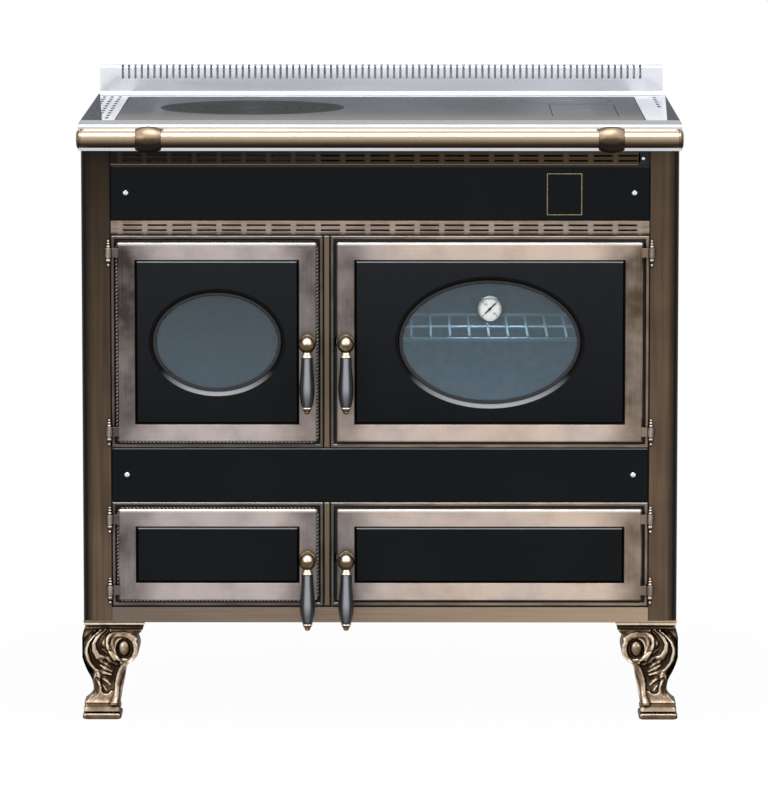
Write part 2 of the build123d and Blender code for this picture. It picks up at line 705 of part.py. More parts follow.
# ---- doors --------------------------------------------------------------------------------------
def door_frame(name):
    """A moulded frame with a lip behind its panel and two hinge knuckles on short arms."""
    x, z = door_x(name), door_z(name)
    side = DOORS[name][2]
    frame = sheet(panel(x, z, DOOR_CORNER), (DOOR_FRONT, DOOR_REAR))
    frame -= sheet(panel(window_x(name), window_z(name)), (DOOR_FRONT - 1, PANEL_REAR))
    lip_x, lip_z = grow(window_x(name), -PANEL_LIP), grow(window_z(name), -PANEL_LIP)
    frame -= sheet(panel(lip_x, lip_z), (PANEL_REAR - 1, DOOR_REAR + 1))
    rims = frame.faces().sort_by(Axis.Y)[0].edges()
    frame = chamfer(rims, STILE_CHAMFER)
    if side < 0:
        frame -= rope_groove(name)
    hinge_x = side * HINGE_X
    edge = x[0] if side < 0 else x[1]
    arm_x = sorted([hinge_x, edge - side * STILE_CHAMFER])
    arm_front = HINGE_D - ARM_T / 2
    for knuckle in knuckle_spans(name):
        frame += block(arm_x, (arm_front, arm_front + ARM_T), knuckle)
        frame += rod_z(hinge_x, HINGE_D, knuckle, KNUCKLE_R)
    for knuckle in knuckle_spans(name):
        frame -= rod_z(hinge_x, HINGE_D, grow(knuckle, 1), PIN_R + FIT_GAP)
    bore = SPINDLE_R + FIT_GAP
    return frame - rod_y(spindle_x(name), spindle_z(name), (DOOR_FRONT - 1, DOOR_REAR + 1), bore)


def rope_depths():
    """The rope's front and rear: it stops just short of the front sheet when the door is shut."""
    rear = FRAME_FRONT - SEAT_GAP
    return (rear - 2 * ROPE_R, rear)


def rope_groove(name):
    """A step round the back edge of the door frame that the rope lies in."""
    outer = panel(grow(door_x(name), 1), grow(door_z(name), 1))
    inset = -ROPE_R - SEAT_GAP
    inner = panel(grow(door_x(name), inset), grow(door_z(name), inset), ROPE_R - SEAT_GAP)
    return sheet(outer - inner, (rope_depths()[0] - SEAT_GAP, DOOR_REAR + 1))


def rope_seal(name):
    """Round sealing rope laid along the door's outline."""
    outline = panel(door_x(name), door_z(name), ROPE_R * 2)
    path = (front_plane(middle(rope_depths())) * outline).wire()
    section = Plane(origin=path @ 0, z_dir=path % 0) * Circle(ROPE_R)
    return sweep(section, path=path)


def oval_centre(name):
    return middle(window_x(name)), middle(window_z(name))


def oval_size(name):
    """The clear glass's width and height."""
    side_in, end_in = DOORS[name][3]
    return length(window_x(name)) - 2 * side_in, length(window_z(name)) - 2 * end_in


def door_panel(name):
    """The enamelled panel, with a bevelled oval where the door has a window."""
    x, z = grow(window_x(name), -PANEL_GAP), grow(window_z(name), -PANEL_GAP)
    plate = sheet(panel(x, z, DOOR_CORNER), (PANEL_FRONT, PANEL_REAR))
    plate = chamfer(plate.faces().sort_by(Axis.Y)[0].edges(), PANEL_CHAMFER)
    if DOORS[name][3]:
        centre = oval_centre(name)
        width, height = oval_size(name)
        rim = oval(width + 2 * OVAL_BEVEL, height + 2 * OVAL_BEVEL, *centre)
        glass = oval(width, height, *centre)
        bevel = loft([front_plane(PANEL_FRONT) * rim, front_plane(PANEL_REAR) * glass])
        plate -= bevel
    return plate


def door_glass(name):
    """An oval pane behind the panel; the oven's has a hole for the thermometer's stem."""
    width, height = oval_size(name)
    pane = oval(width + 2 * GLASS_LAP, height + 2 * GLASS_LAP, *oval_centre(name))
    glass = sheet(pane, (PANEL_REAR, GLASS_REAR))
    if name == "oven":
        x, z = dial_centre()
        glass -= rod_y(x, z, (PANEL_REAR - 1, GLASS_REAR + 1), STEM_R + SEAT_GAP)
    return glass


def glass_clamp(name):
    """A stepped oval ring that holds the pane against the panel from behind."""
    width, height = oval_size(name)
    centre = oval_centre(name)
    reach = 2 * (GLASS_LAP + CLAMP_LAP)
    seat = 2 * (GLASS_LAP + SEAT_GAP)
    clamp = sheet(oval(width + reach, height + reach, *centre), (PANEL_REAR, GLASS_REAR + CLAMP_T))
    clamp -= sheet(oval(width + seat, height + seat, *centre), (PANEL_REAR - 1, GLASS_REAR))
    return clamp - sheet(oval(width, height, *centre), (GLASS_REAR - 1, GLASS_REAR + CLAMP_T + 1))


def hinge_pin(name, knuckle):
    """A pin up through the knuckle, with a disc finial above, a ball and tip below, and its bracket."""
    base = knuckle[0] - SEAT_GAP
    top = knuckle[1] + SEAT_GAP
    points = [
        (0, base - TIP_H),
        (1.2, base - TIP_H),
        (2.6, base - TIP_H + 4),
        (2.0, base - 2 * PIN_BALL_R),
        (PIN_BALL_R * 0.8, base - 1.6 * PIN_BALL_R),
        (PIN_BALL_R, base - PIN_BALL_R),
        (PIN_BALL_R * 0.8, base - 0.4 * PIN_BALL_R),
        (PIN_R + 1, base),
        (PIN_R, base),
        (PIN_R, top),
        (PIN_R + 1, top),
        (PIN_R + 1, top + FINIAL_H * 0.25),
        (PIN_R - 0.5, top + FINIAL_H * 0.35),
        (PIN_R + 0.7, top + FINIAL_H * 0.5),
        (PIN_R - 0.8, top + FINIAL_H * 0.68),
        (PIN_R - 0.3, top + FINIAL_H * 0.85),
        (0, top + FINIAL_H),
    ]
    x = DOORS[name][2] * HINGE_X
    pin = turned(points, Pos(x, FRONT_Y + HINGE_D, 0))
    return pin + rod_y(x, base - PIN_BALL_R, (HINGE_D, COLUMN_FRONT), BRACKET_R)


def hinge_pins():
    return [hinge_pin(name, knuckle) for name in DOORS for knuckle in knuckle_spans(name)]


# ---- door handles -------------------------------------------------------------------------------
def handle_depth():
    return DOOR_FRONT - GRIP_REACH


def handle_metal(name):
    """Ball, neck, rose, spindle and tongue, and the rod through the grip with its end cap."""
    x, z = spindle_x(name), spindle_z(name)
    side = DOORS[name][2]
    depth = handle_depth()
    rose_rear = DOOR_FRONT - SEAT_GAP
    tongue_front, tongue_rear = tongue_depths()
    place = Pos(x, FRONT_Y + depth, z)
    knob = place * Sphere(GRIP_BALL_R)
    grip_top = -GRIP_BALL_R - COLLAR_L
    grip_end = grip_top - GRIP_L
    stick = [
        (0, 0),
        (COLLAR_R - 2, 0),
        (COLLAR_R - 2, -GRIP_BALL_R),
        (COLLAR_R, -GRIP_BALL_R - 1),
        (COLLAR_R, grip_top),
        (ROD_R, grip_top),
        (ROD_R, grip_end),
        (CAP_R, grip_end),
        (CAP_R, grip_end - CAP_L * 0.45),
        (CAP_R * 0.55, grip_end - CAP_L * 0.6),
        (CAP_R * 0.6, grip_end - CAP_L * 0.8),
        (0, grip_end - CAP_L),
    ]
    metal = knob + turned(stick, place)
    metal += rod_y(x, z, (depth, rose_rear), NECK_R)
    metal += rod_y(x, z, (rose_rear - ROSE_T, rose_rear), ROSE_R)
    metal += rod_y(x, z, (depth, tongue_rear), SPINDLE_R)
    tongue_x = sorted([x, x - side * TONGUE_L])
    half = TONGUE_W / 2
    return metal + block(tongue_x, (tongue_front, tongue_rear), (z - half, z + half))


def handle_grip(name):
    """The barrel-shaped grip on the rod, fullest two thirds of the way down."""
    place = Pos(spindle_x(name), FRONT_Y + handle_depth(), spindle_z(name))
    top = -GRIP_BALL_R - COLLAR_L
    end = top - GRIP_L
    bore = ROD_R + FIT_GAP
    barrel = Spline(
        (GRIP_TOP_R, top),
        (GRIP_TOP_R + 0.6, top - GRIP_L * 0.2),
        (GRIP_BELLY_R, top - GRIP_L * 0.66),
        (GRIP_END_R, end),
    )
    edges = barrel + Line((GRIP_END_R, end), (bore, end))
    edges += Line((bore, end), (bore, top))
    edges += Line((bore, top), (GRIP_TOP_R, top))
    return place * revolve(make_face(Plane.XZ * edges), Axis.Z)


# ---- oven thermometer ---------------------------------------------------------------------------
def dial_centre():
    x, z = oval_centre("oven")
    return x, z + oval_size("oven")[1] / 2 - DIAL_DROP


def thermometer_case():
    """A round case on the glass with a recessed dial and a stem through the door."""
    x, z = dial_centre()
    front = PANEL_REAR - DIAL_CASE_T
    case = rod_y(x, z, (front, PANEL_REAR), DIAL_R)
    case = fillet(case.faces().sort_by(Axis.Y)[0].edges(), DIAL_RIM * 0.6)
    case -= rod_y(x, z, (front - 1, front + DIAL_RECESS), DIAL_R - DIAL_RIM)
    case += rod_y(x, z, (PANEL_REAR, PANEL_REAR + STEM_L), STEM_R)
    pivot = front + DIAL_RECESS
    return case - rod_y(x, z, (pivot - 1, pivot + 2), NEEDLE_PIN_R + FIT_GAP)


def thermometer_needle():
    """A tapered pointer with a short tail, on a pin in the dial."""
    x, z = dial_centre()
    floor = PANEL_REAR - DIAL_CASE_T + DIAL_RECESS
    rear = floor - SEAT_GAP
    tail = -NEEDLE_L * 0.4
    half = NEEDLE_HUB_R * 0.45
    outline = [(-half, 0), (-half * 0.6, tail), (half * 0.6, tail), (half, 0), (0, NEEDLE_L)]
    pointer = make_face(Polyline(*outline, close=True))
    blade = sheet(Pos(x, z) * Rot(0, 0, -45) * pointer, (rear - NEEDLE_T, rear))
    blade += rod_y(x, z, (rear - 1.5 * NEEDLE_T, rear), NEEDLE_HUB_R)
    return blade + rod_y(x, z, (rear, floor + 1.5), NEEDLE_PIN_R)


# ---- inside -------------------------------------------------------------------------------------
def casing_x(name):
    return grow(opening_x(name), SHEET)


def casing_z(name):
    return grow(opening_z(name), SHEET)


def latch_room(name):
    """The sweep of a latch tongue, which a casing's front edge is cut back for."""
    return latch_notch(name, (FRAME_REAR - 1, tongue_depths()[1] + NOTCH_GAP), TONGUE_L)


def grate_hole():
    """The grate's middle and the hole below it, in x and depth."""
    x = middle(opening_x("firebox"))
    d = FRAME_REAR + BRICK_IN + (FIREBOX_DEPTH - BRICK_IN - BRICK_T) / 2
    hole_x = grow((x, x), GRATE_W / 2 - SHEET * 3)
    hole_d = grow((d, d), GRATE_D / 2 - SHEET * 3)
    return x, d, hole_x, hole_d


def firebox_casing():
    """The sheet shell of the fire chamber, open to the front and the hob, with its smoke port."""
    x = casing_x("firebox")
    d = (FRAME_REAR, FRAME_REAR + FIREBOX_DEPTH)
    z = (casing_z("firebox")[0], LEDGE_UNDER - SEAT_GAP)
    shell = block(x, d, z)
    front_z = (opening_z("firebox")[0], opening_z("firebox")[1])
    shell -= block(grow(x, -SHEET), grow(d, -SHEET), (front_z[0], z[1] + 1))
    shell -= block(grow(x, -SHEET), (d[0] - 1, d[0] + SHEET + 1), front_z)
    _, _, hole_x, hole_d = grate_hole()
    shell -= block(hole_x, hole_d, (z[0] - 1, z[0] + SHEET + 1))
    port_z = (SHELF_Z - SMOKE_PORT_H - 10, SHELF_Z - 10)
    port_d = grow((middle(d), middle(d)), SMOKE_PORT_W / 2)
    shell -= block((x[1] - SHEET - 1, x[1] + 1), port_d, port_z)
    return shell - latch_room("firebox")


def firebricks():
    """Lining slabs at the two sides and the rear of the fire chamber."""
    x = grow(opening_x("firebox"), -SEAT_GAP)
    floor = opening_z("firebox")[0]
    z = (floor, floor + BRICK_H)
    front = FRAME_REAR + BRICK_IN
    rear = FRAME_REAR + FIREBOX_DEPTH - SHEET - SEAT_GAP
    left = block((x[0], x[0] + BRICK_T), (front, rear), z)
    right = block((x[1] - BRICK_T, x[1]), (front, rear), z)
    back_x = (x[0] + BRICK_T + SEAT_GAP, x[1] - BRICK_T - SEAT_GAP)
    back = block(back_x, (rear - BRICK_T, rear), z)
    return [left, right, back]


def smoke_baffle():
    """A plate that lies on the bricks and turns the smoke forward."""
    x = grow(opening_x("firebox"), -SEAT_GAP)
    z = opening_z("firebox")[0] + BRICK_H
    rear = FRAME_REAR + FIREBOX_DEPTH - SHEET - SEAT_GAP
    return block(x, (rear - BAFFLE_D, rear), (z, z + BAFFLE_T))


def grate():
    """A cast grate with slots, on the floor of the fire chamber over the ash way."""
    x, d, _, _ = grate_hole()
    floor = opening_z("firebox")[0]
    plate = block(grow((x, x), GRATE_W / 2), grow((d, d), GRATE_D / 2), (floor, floor + GRATE_T))
    slots = count(GRATE_W - 2 * GRATE_END, GRATE_PITCH)
    for number in range(slots):
        place = x + (number - (slots - 1) / 2) * GRATE_PITCH
        slot_x = grow((place, place), GRATE_SLOT / 2)
        slot_d = grow((d, d), GRATE_D / 2 - GRATE_T)
        plate -= block(slot_x, slot_d, (floor - 1, floor + GRATE_T + 1))
    return plate


def ash_box():
    """The ash chamber, open to the front, with a neck up to the fire chamber's floor."""
    d = (FRAME_REAR, FRAME_REAR + ASH_DEPTH)
    chamber = open_box(casing_x("ash"), d, casing_z("ash"), SHEET)
    _, _, hole_x, hole_d = grate_hole()
    top = casing_z("ash")[1]
    neck_z = (top - SHEET, casing_z("firebox")[0])
    chamber += block(grow(hole_x, SHEET), grow(hole_d, SHEET), neck_z)
    chamber -= block(hole_x, hole_d, grow(neck_z, 1))
    return chamber - latch_room("ash")


def ash_pan():
    """A folded tray with a turned-out front lip."""
    x = grow(opening_x("ash"), -PAN_GAP)
    d = (FRAME_REAR + PAN_GAP, FRAME_REAR + ASH_DEPTH - SHEET - PAN_GAP)
    floor = opening_z("ash")[0]
    z = (floor, floor + PAN_H)
    tray = block(x, d, z) - block(grow(x, -PAN_WALL), grow(d, -PAN_WALL), (z[0] + PAN_WALL, z[1] + 1))
    handle_x = grow((middle(x), middle(x)), length(x) / 5)
    return tray + block(handle_x, (d[0] - PAN_LIP, d[0]), (z[1] - PAN_WALL, z[1]))


def rack_base():
    """The height of the middle runners' tops, which the wire shelf lies on."""
    return middle(opening_z("oven")) - RACK_DROP


def oven_box():
    """The oven's lining with three pairs of shelf runners."""
    x, z = casing_x("oven"), casing_z("oven")
    box = open_box(x, (FRAME_REAR, FRAME_REAR + OVEN_DEPTH), z, SHEET)
    runner_d = (RACK_FRONT - RACK_EDGE_R, RACK_FRONT + RACK_DEPTH + RACK_EDGE_R)
    for level in (-1, 0, 1):
        top = rack_base() + level * RUNNER_STEP
        for inner, side in ((x[0] + SHEET, 1), (x[1] - SHEET, -1)):
            runner_x = sorted([inner, inner + side * RUNNER_W])
            box += block(runner_x, runner_d, (top - RUNNER_T, top))
    return box - latch_room("oven")


def oven_rack():
    """A wire shelf: round edge bars, a middle bar, and wires from front to rear."""
    x = grow(opening_x("oven"), -RACK_EDGE_R - 1)
    z = rack_base() + RACK_EDGE_R
    rear = RACK_FRONT + RACK_DEPTH
    rack = rod_x(grow(x, RACK_EDGE_R), RACK_FRONT, z, RACK_EDGE_R)
    rack += rod_x(grow(x, RACK_EDGE_R), rear, z, RACK_EDGE_R)
    rack += rod_x(x, RACK_FRONT + RACK_DEPTH / 2, z, RACK_WIRE_R)
    for edge in x:
        rack += rod_y(edge, z, (RACK_FRONT, rear), RACK_EDGE_R)
    wires = count(length(x) - 2 * RACK_END, RACK_PITCH) + 1
    for number in range(wires):
        place = middle(x) + (number - (wires - 1) / 2) * RACK_PITCH
        rack += rod_y(place, z + RACK_WIRE_R / 2, (RACK_FRONT, rear), RACK_WIRE_R)
    return rack


def store_box():
    d = (FRAME_REAR, FRAME_REAR + STORE_DEPTH)
    return open_box(casing_x("store"), d, casing_z("store"), SHEET) - latch_room("store")


def smoke_shelf():
    """A shelf across the smoke passage with the port that the damper covers."""
    x = (casing_x("firebox")[1] + SEAT_GAP, HALF_BODY - SHEET - SEAT_GAP)
    front = COLUMN_FRONT + COLUMN_R + SEAT_GAP
    shelf = block(x, (front, BODY_REAR - SHEET), (SHELF_Z, SHELF_Z + SHEET))
    port_x = grow((FLUE_X, FLUE_X), PORT_W / 2)
    port_d = grow((FLUE_D, FLUE_D), PORT_D / 2)
    return shelf - block(port_x, port_d, (SHELF_Z - 1, SHELF_Z + SHEET + 1))


def damper():
    """The damper's sliding plate, its lug, and the pull rod with a small knob at the front."""
    plate_x = (FLUE_X - PORT_W / 2 - DAMPER_LAP, PULL_X + PULL_R)
    plate_d = grow((FLUE_D, FLUE_D), PORT_D / 2 + DAMPER_LAP)
    low = SHELF_Z + SHEET + SEAT_GAP
    plate = block(plate_x, plate_d, (low, low + SHEET))
    lug_x = grow((PULL_X, PULL_X), PULL_R)
    plate += block(lug_x, (plate_d[0], plate_d[0] + 20), (low, PULL_Z + PULL_R))
    knob_d = FRAME_FRONT - STRIP_T - PULL_KNOB_R / 2
    plate += rod_y(PULL_X, PULL_Z, (knob_d, plate_d[0]), PULL_R)
    return plate + Pos(PULL_X, FRONT_Y + knob_d, PULL_Z) * Sphere(PULL_KNOB_R)


# ---- feet ---------------------------------------------------------------------------------------
def foot_heights(shares):
    """Heights on the leg between its base and its plate, from shares of that span."""
    low = 2 * FOOT_TIER + FOOT_NECK
    span = FOOT_H - FOOT_PLATE_T - low
    return [low + share * span for share in shares]


def foot_front_outline():
    """The scroll foot from the front: bowed outer side, volute inside, narrow ankle, flared toe."""
    down = foot_heights((1, 0.79, 0.614, 0.447, 0.246, 0.088, 0))
    up = foot_heights((0, 0.158, 0.333, 0.439))
    x, z = VOLUTE_X, FOOT_H - VOLUTE_DROP
    roll_top = (x + VOLUTE_R * 0.87, z + VOLUTE_R * 0.5)
    roll_foot = (x + VOLUTE_R * 0.26, z - VOLUTE_R * 0.966)
    top_corner = (FOOT_PLATE_X[1] - FOOT_TIER_OUT, down[0])
    outer = Spline(*[(-bow, height) for bow, height in zip(FOOT_BOW, down)])
    ankle = Spline(*zip(FOOT_ANKLE, up), roll_foot)
    edges = outer + Line((-FOOT_BOW[-1], up[0]), (FOOT_ANKLE[0], up[0])) + ankle
    edges += ThreePointArc(roll_foot, (x + VOLUTE_R, z), roll_top)
    return make_face(edges + Line(roll_top, top_corner) + Line(top_corner, (-FOOT_BOW[0], down[0])))


def foot_side_outline():
    """The same foot from the side: knee forward at the top, toe forward at the floor."""
    down = foot_heights((1, 0.79, 0.579, 0.298, 0.123, 0))
    up = foot_heights((0, 0.193, 0.509, 0.825, 1))
    knee = Spline(*zip(FOOT_KNEE, down))
    calf = Spline(*zip(FOOT_CALF, up))
    toe = Line((FOOT_KNEE[-1], up[0]), (FOOT_CALF[0], up[0]))
    return make_face(knee + toe + calf + Line((FOOT_CALF[-1], up[-1]), (FOOT_KNEE[0], down[0])))


def front_foot(side):
    """A cast scroll foot: top plate, knee and volute, ankle, and a stepped base."""
    x = -HALF_BODY + FOOT_IN
    front_y = FRONT_Y + FOOT_FRONT
    deep_enough = FOOT_PLATE_D[1] - FOOT_PLATE_D[0]
    front = Plane(origin=(x, front_y + FOOT_PLATE_D[1], 0), x_dir=(1, 0, 0), z_dir=(0, -1, 0))
    leg = extrude(front * foot_front_outline(), deep_enough)
    side_plane = Plane(origin=(x - 2 * FOOT_BOW[0], front_y, 0), x_dir=(0, 1, 0), z_dir=(1, 0, 0))
    leg = leg & extrude(side_plane * foot_side_outline(), 2 * (FOOT_BOW[0] + FOOT_PLATE_X[1]))
    wide, deep = FOOT_BASE
    out = 2 * FOOT_TIER_OUT
    base_y = front_y + FOOT_BASE_BACK + deep / 2
    tiers = Pos(x, base_y, 0) * extrude(RectangleRounded(wide + out, deep + out, FOOT_CORNER), FOOT_TIER)
    tiers += Pos(x, base_y, FOOT_TIER) * extrude(RectangleRounded(wide, deep, FOOT_CORNER), FOOT_TIER)
    shoulder = RectangleRounded(wide - FOOT_TIER_OUT, deep - FOOT_TIER_OUT, FOOT_CORNER)
    neck = Pos(x, base_y, 2 * FOOT_TIER) * extrude(shoulder, FOOT_NECK)
    plate_x = (x + FOOT_PLATE_X[0], x + FOOT_PLATE_X[1])
    plate_d = (FOOT_FRONT + FOOT_PLATE_D[0], FOOT_FRONT + FOOT_PLATE_D[1])
    top_plate = block(plate_x, plate_d, (FOOT_H - FOOT_PLATE_T, FOOT_H))
    volute = (x + VOLUTE_X, FOOT_H - VOLUTE_DROP)
    roll_depth = (FOOT_FRONT + VOLUTE_D[0], FOOT_FRONT + VOLUTE_D[1])
    roll = rod_y(*volute, roll_depth, VOLUTE_R + VOLUTE_RIM)
    eye = rod_y(*volute, (roll_depth[0] - EYE_H, roll_depth[0]), EYE_R)
    foot = leg + roll + eye + neck + tiers + top_plate
    return foot if side < 0 else mirror(foot, Plane.YZ)


def rear_foot(side):
    """A plain round foot with a wider pad."""
    x = side * (HALF_BODY - REAR_FOOT_IN)
    points = [
        (0, 0),
        (REAR_PAD_R, 0),
        (REAR_PAD_R, REAR_PAD_H / 2),
        (REAR_FOOT_R, REAR_PAD_H),
        (REAR_FOOT_R, FOOT_H),
        (0, FOOT_H),
    ]
    return turned(points, Pos(x, FRONT_Y + BODY_REAR - REAR_FOOT_BACK, 0))


# ---- write every piece --------------------------------------------------------------------------
save(front_frame(), "front_frame")
save_group([column(-1), column(1)], "columns")
save_group([side_panel(-1), side_panel(1)], "side_panels")
save(back_panel(), "back_panel")
save(base_tray(), "base_tray")
save_group([band(LOWER_BAND), band(UPPER_BAND)], "bands")
save_group(band_screws(), "band_screws")
save_group(vent_strips(), "vent_strips")
save_group(door_trims(), "door_trims")
save(hob_frame(), "hob_frame")
save(cooking_plate(), "cooking_plate")
for ring_number in range(len(RING_RADII) - 1):
    save(ring(ring_number), f"hob_ring_{ring_number + 1}")
save(centre_lid(), "hob_centre_lid")
save(flue_lid(), "flue_lid")
save(access_lid(), "access_lid")
save(splashback(), "splashback")
save_group(towel_rail(), "towel_rail")
save_group([rail_bracket(-1), rail_bracket(1)], "rail_brackets")
save_group(hinge_pins(), "hinge_pins")
for door in DOORS:
    save(door_frame(door), f"{door}_door_frame")
    save(door_panel(door), f"{door}_door_panel")
    save(handle_metal(door), f"{door}_handle_metal")
    save(handle_grip(door), f"{door}_handle_grip")
    if DOORS[door][3]:
        save(door_glass(door), f"{door}_glass")
        save(glass_clamp(door), f"{door}_glass_clamp")
    if DOORS[door][2] < 0:
        save(rope_seal(door), f"{door}_rope_seal")
save(thermometer_case(), "thermometer_case")
save(thermometer_needle(), "thermometer_needle")
save(firebox_casing(), "firebox_casing")
save_group(firebricks(), "firebricks")
save(smoke_baffle(), "smoke_baffle")
save(grate(), "grate")
save(ash_box(), "ash_box")
save(ash_pan(), "ash_pan")
save(oven_box(), "oven_box")
save(oven_rack(), "oven_rack")
save(store_box(), "store_box")
save(smoke_shelf(), "smoke_shelf")
save(damper(), "damper")
save(front_foot(-1), "front_foot_left")
save(front_foot(1), "front_foot_right")
save_group([rear_foot(-1), rear_foot(1)], "rear_feet")
print("written:", len(os.listdir("parts")), "pieces")
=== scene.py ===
# %% [markdown]
# # A wood-burning range cooker
# The real cooker is a steel box in dark bronze with a bright steel hob, four framed doors, turned bronze
# fittings and two cast scroll feet. A CAD model of it already holds every size and every moving joint.
# This notebook dresses that model: it loads it as a fixed frame, adds finishes, and builds the shapes that
# need a modeller's hand. Starting from the frame means that nothing here has to be fitted by eye.

# %% Load the frame
import bpy
import bmesh
import json
import math
import numpy as np
from mathutils import Matrix, Vector
from mathutils.kdtree import KDTree


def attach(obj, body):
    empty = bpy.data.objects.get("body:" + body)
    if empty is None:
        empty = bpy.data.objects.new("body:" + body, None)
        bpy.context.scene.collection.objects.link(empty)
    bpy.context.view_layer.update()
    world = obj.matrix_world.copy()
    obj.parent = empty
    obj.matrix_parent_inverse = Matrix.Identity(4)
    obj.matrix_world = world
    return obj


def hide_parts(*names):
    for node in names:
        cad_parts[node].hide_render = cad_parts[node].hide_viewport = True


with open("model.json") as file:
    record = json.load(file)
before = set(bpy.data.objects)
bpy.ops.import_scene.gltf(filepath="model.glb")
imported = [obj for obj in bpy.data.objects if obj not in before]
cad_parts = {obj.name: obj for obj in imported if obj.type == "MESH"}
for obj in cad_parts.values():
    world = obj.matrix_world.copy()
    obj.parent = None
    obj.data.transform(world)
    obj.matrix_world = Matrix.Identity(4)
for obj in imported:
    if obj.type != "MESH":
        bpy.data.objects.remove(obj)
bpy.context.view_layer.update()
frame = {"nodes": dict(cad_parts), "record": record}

# %% [markdown]
# ## Places
# The cooker's drawing gives depths back from the hob's front face and everything in millimetres, while
# Blender works in metres. One helper turns the drawing's numbers into a point, so each piece below can be
# read against the drawing.

# %% Points from millimetres
HOB_FACE_Y = -0.269
MM = 0.001


def place(x, depth, z):
    """A point from millimetres: across, back from the hob's front face, and up."""
    return Vector((x * MM, HOB_FACE_Y + depth * MM, z * MM))


record = frame["record"]
body_of = {node: body for body, nodes in record["behaviour"]["bodies"].items() for node in nodes}
print("bodies:", len(set(body_of.values())), "nodes:", len(body_of))

# %% [markdown]
# ## Colour and nodes
# A colour picked from the cooker is an sRGB code, but Blender's nodes add and multiply light, so they want
# linear values: one function converts them all. A second one adds a shader node with its settings and its
# links in a single call. A finish is then built from a few kinds of step, such as a noise, a span of values
# or a blend of two colours, and each step hands its output to the next, like coats on the real surface.

# %% Colour
def colour(code):
    """An sRGB hex code as the linear colour that the nodes take."""
    channels = [int(code[i:i + 2], 16) / 255 for i in (1, 3, 5)]
    return tuple(c / 12.92 if c <= 0.04045 else ((c + 0.055) / 1.055) ** 2.4 for c in channels) + (1.0,)


print("bronze in linear light:", [round(c, 3) for c in colour("#7a6650")[:3]])

# %% Nodes
def wire(tree, node, inputs):
    """Sets a node's inputs: a value goes into the socket, and another node's output is linked to it."""
    for key, value in inputs.items():
        if isinstance(value, bpy.types.NodeSocket):
            tree.links.new(value, node.inputs[key])
        else:
            node.inputs[key].default_value = value


def add(tree, kind, inputs, **settings):
    """Adds one shader node with its settings, values and links."""
    node = tree.nodes.new("ShaderNode" + kind)
    for key, value in settings.items():
        setattr(node, key, value)
    wire(tree, node, inputs)
    return node


print("node helpers:", wire.__name__, add.__name__)

# %% Finish
class Finish:
    """A material in the making. Each step adds nodes and returns an output that the next can take."""

    def __init__(self, name, **values):
        """Values are constant sockets of the Principled shader."""
        self.material = bpy.data.materials.new(name)
        self.material.use_nodes = True
        self.tree = self.material.node_tree
        self.shader = self.tree.nodes["Principled BSDF"]
        wire(self.tree, self.shader, {key.replace("_", " "): value for key, value in values.items()})
        where = add(self.tree, "TexCoord", {}).outputs
        self.place, self.normal = where["Object"], where["Normal"]
        self.x, self.y, self.z = add(self.tree, "SeparateXYZ", {"Vector": self.place}).outputs

    def axis(self, vector, axis):
        """One axis of a vector."""
        return add(self.tree, "SeparateXYZ", {"Vector": vector}).outputs[axis]

    def attribute(self, name, output="Fac"):
        """A value that the mesh carries."""
        return add(self.tree, "Attribute", {}, attribute_name=name).outputs[output]

    def noise(self, scale, detail):
        """Noise with features of 1 / scale metres; three scales draw it out into streaks."""
        at = self.place
        if isinstance(scale, tuple):
            at, scale = add(self.tree, "Mapping", {"Vector": at, "Scale": scale}).outputs[0], 1.0
        return add(self.tree, "TexNoise", {"Vector": at, "Scale": scale, "Detail": detail}).outputs[0]

    def span(self, value, low, high, to_low=0.0, to_high=1.0, curve="LINEAR"):
        """A value between low and high, as one between to_low and to_high."""
        limits = {"From Min": low, "From Max": high, "To Min": to_low, "To Max": to_high}
        return add(self.tree, "MapRange", {"Value": value, **limits}, interpolation_type=curve).outputs[0]

    def shift(self, noise, reach):
        """A noise as a shift of up to reach either way."""
        return self.span(noise, 0.3, 0.7, -reach, reach)

    def calc(self, operation, *values, clamp=False):
        """A sum, product or other sum of values."""
        return add(self.tree, "Math", dict(enumerate(values)), operation=operation, use_clamp=clamp).outputs[0]

    def vector(self, operation, *values, output="Vector"):
        """The same for vectors."""
        return add(self.tree, "VectorMath", dict(enumerate(values)), operation=operation).outputs[output]

    def cloth(self, *way):
        """How squarely a spot faces a light that comes from one way, for painted light and shade."""
        return self.vector("DOT_PRODUCT", self.normal, way, output="Value")

    def mix(self, share, first, second, kind="RGBA"):
        """A blend of two colours, each a hex code or an output, or of two FLOAT values."""
        first, second = (colour(c) if isinstance(c, str) else c for c in (first, second))
        socket, output = (6, 2) if kind == "RGBA" else (2, 0)
        values = {0: share, socket: first, socket + 1: second}
        return add(self.tree, "Mix", values, data_type=kind).outputs[output]

    def skin(self, tone, dents=None, strength=0.0, depth=0.0, **links):
        """Wires the last tone and the dents into the shader, and returns the finished material."""
        if dents:
            bump = add(self.tree, "Bump", {"Height": dents, "Strength": strength, "Distance": depth})
            links["Normal"] = bump.outputs[0]
        wire(self.tree, self.shader, {"Base Color": tone, **links})
        print("finish:", self.material.name)
        return self.material


print("steps of a finish:", [step for step in vars(Finish) if not step.startswith("_")])

# %% [markdown]
# ## Bronzed steel sheet
# The corner posts and the sides are folded steel with a bronze-brown patina under satin lacquer. The
# patina is brushed on by hand, so it is streaked upright. A stretched noise gives the streaks, and the
# height and the distance from the fold shift the tone: that is painted shade under the hob's overhang
# and on the folded corners, which turn away from the light.

# %% Bronzed sheet
f = Finish("bronzed_steel_sheet_satin", Metallic=0.85, Roughness=0.45)
# brush strokes about 6 mm wide and 250 mm long, and clouds of thicker patina about 120 mm across
strokes, clouds = f.noise((160, 160, 4), 4.0), f.noise(8.0, 5.0)
# painted shade on the folded corners, which turn away from the light
fold = f.span(f.calc("ABSOLUTE", f.x), 0.430, 0.441)
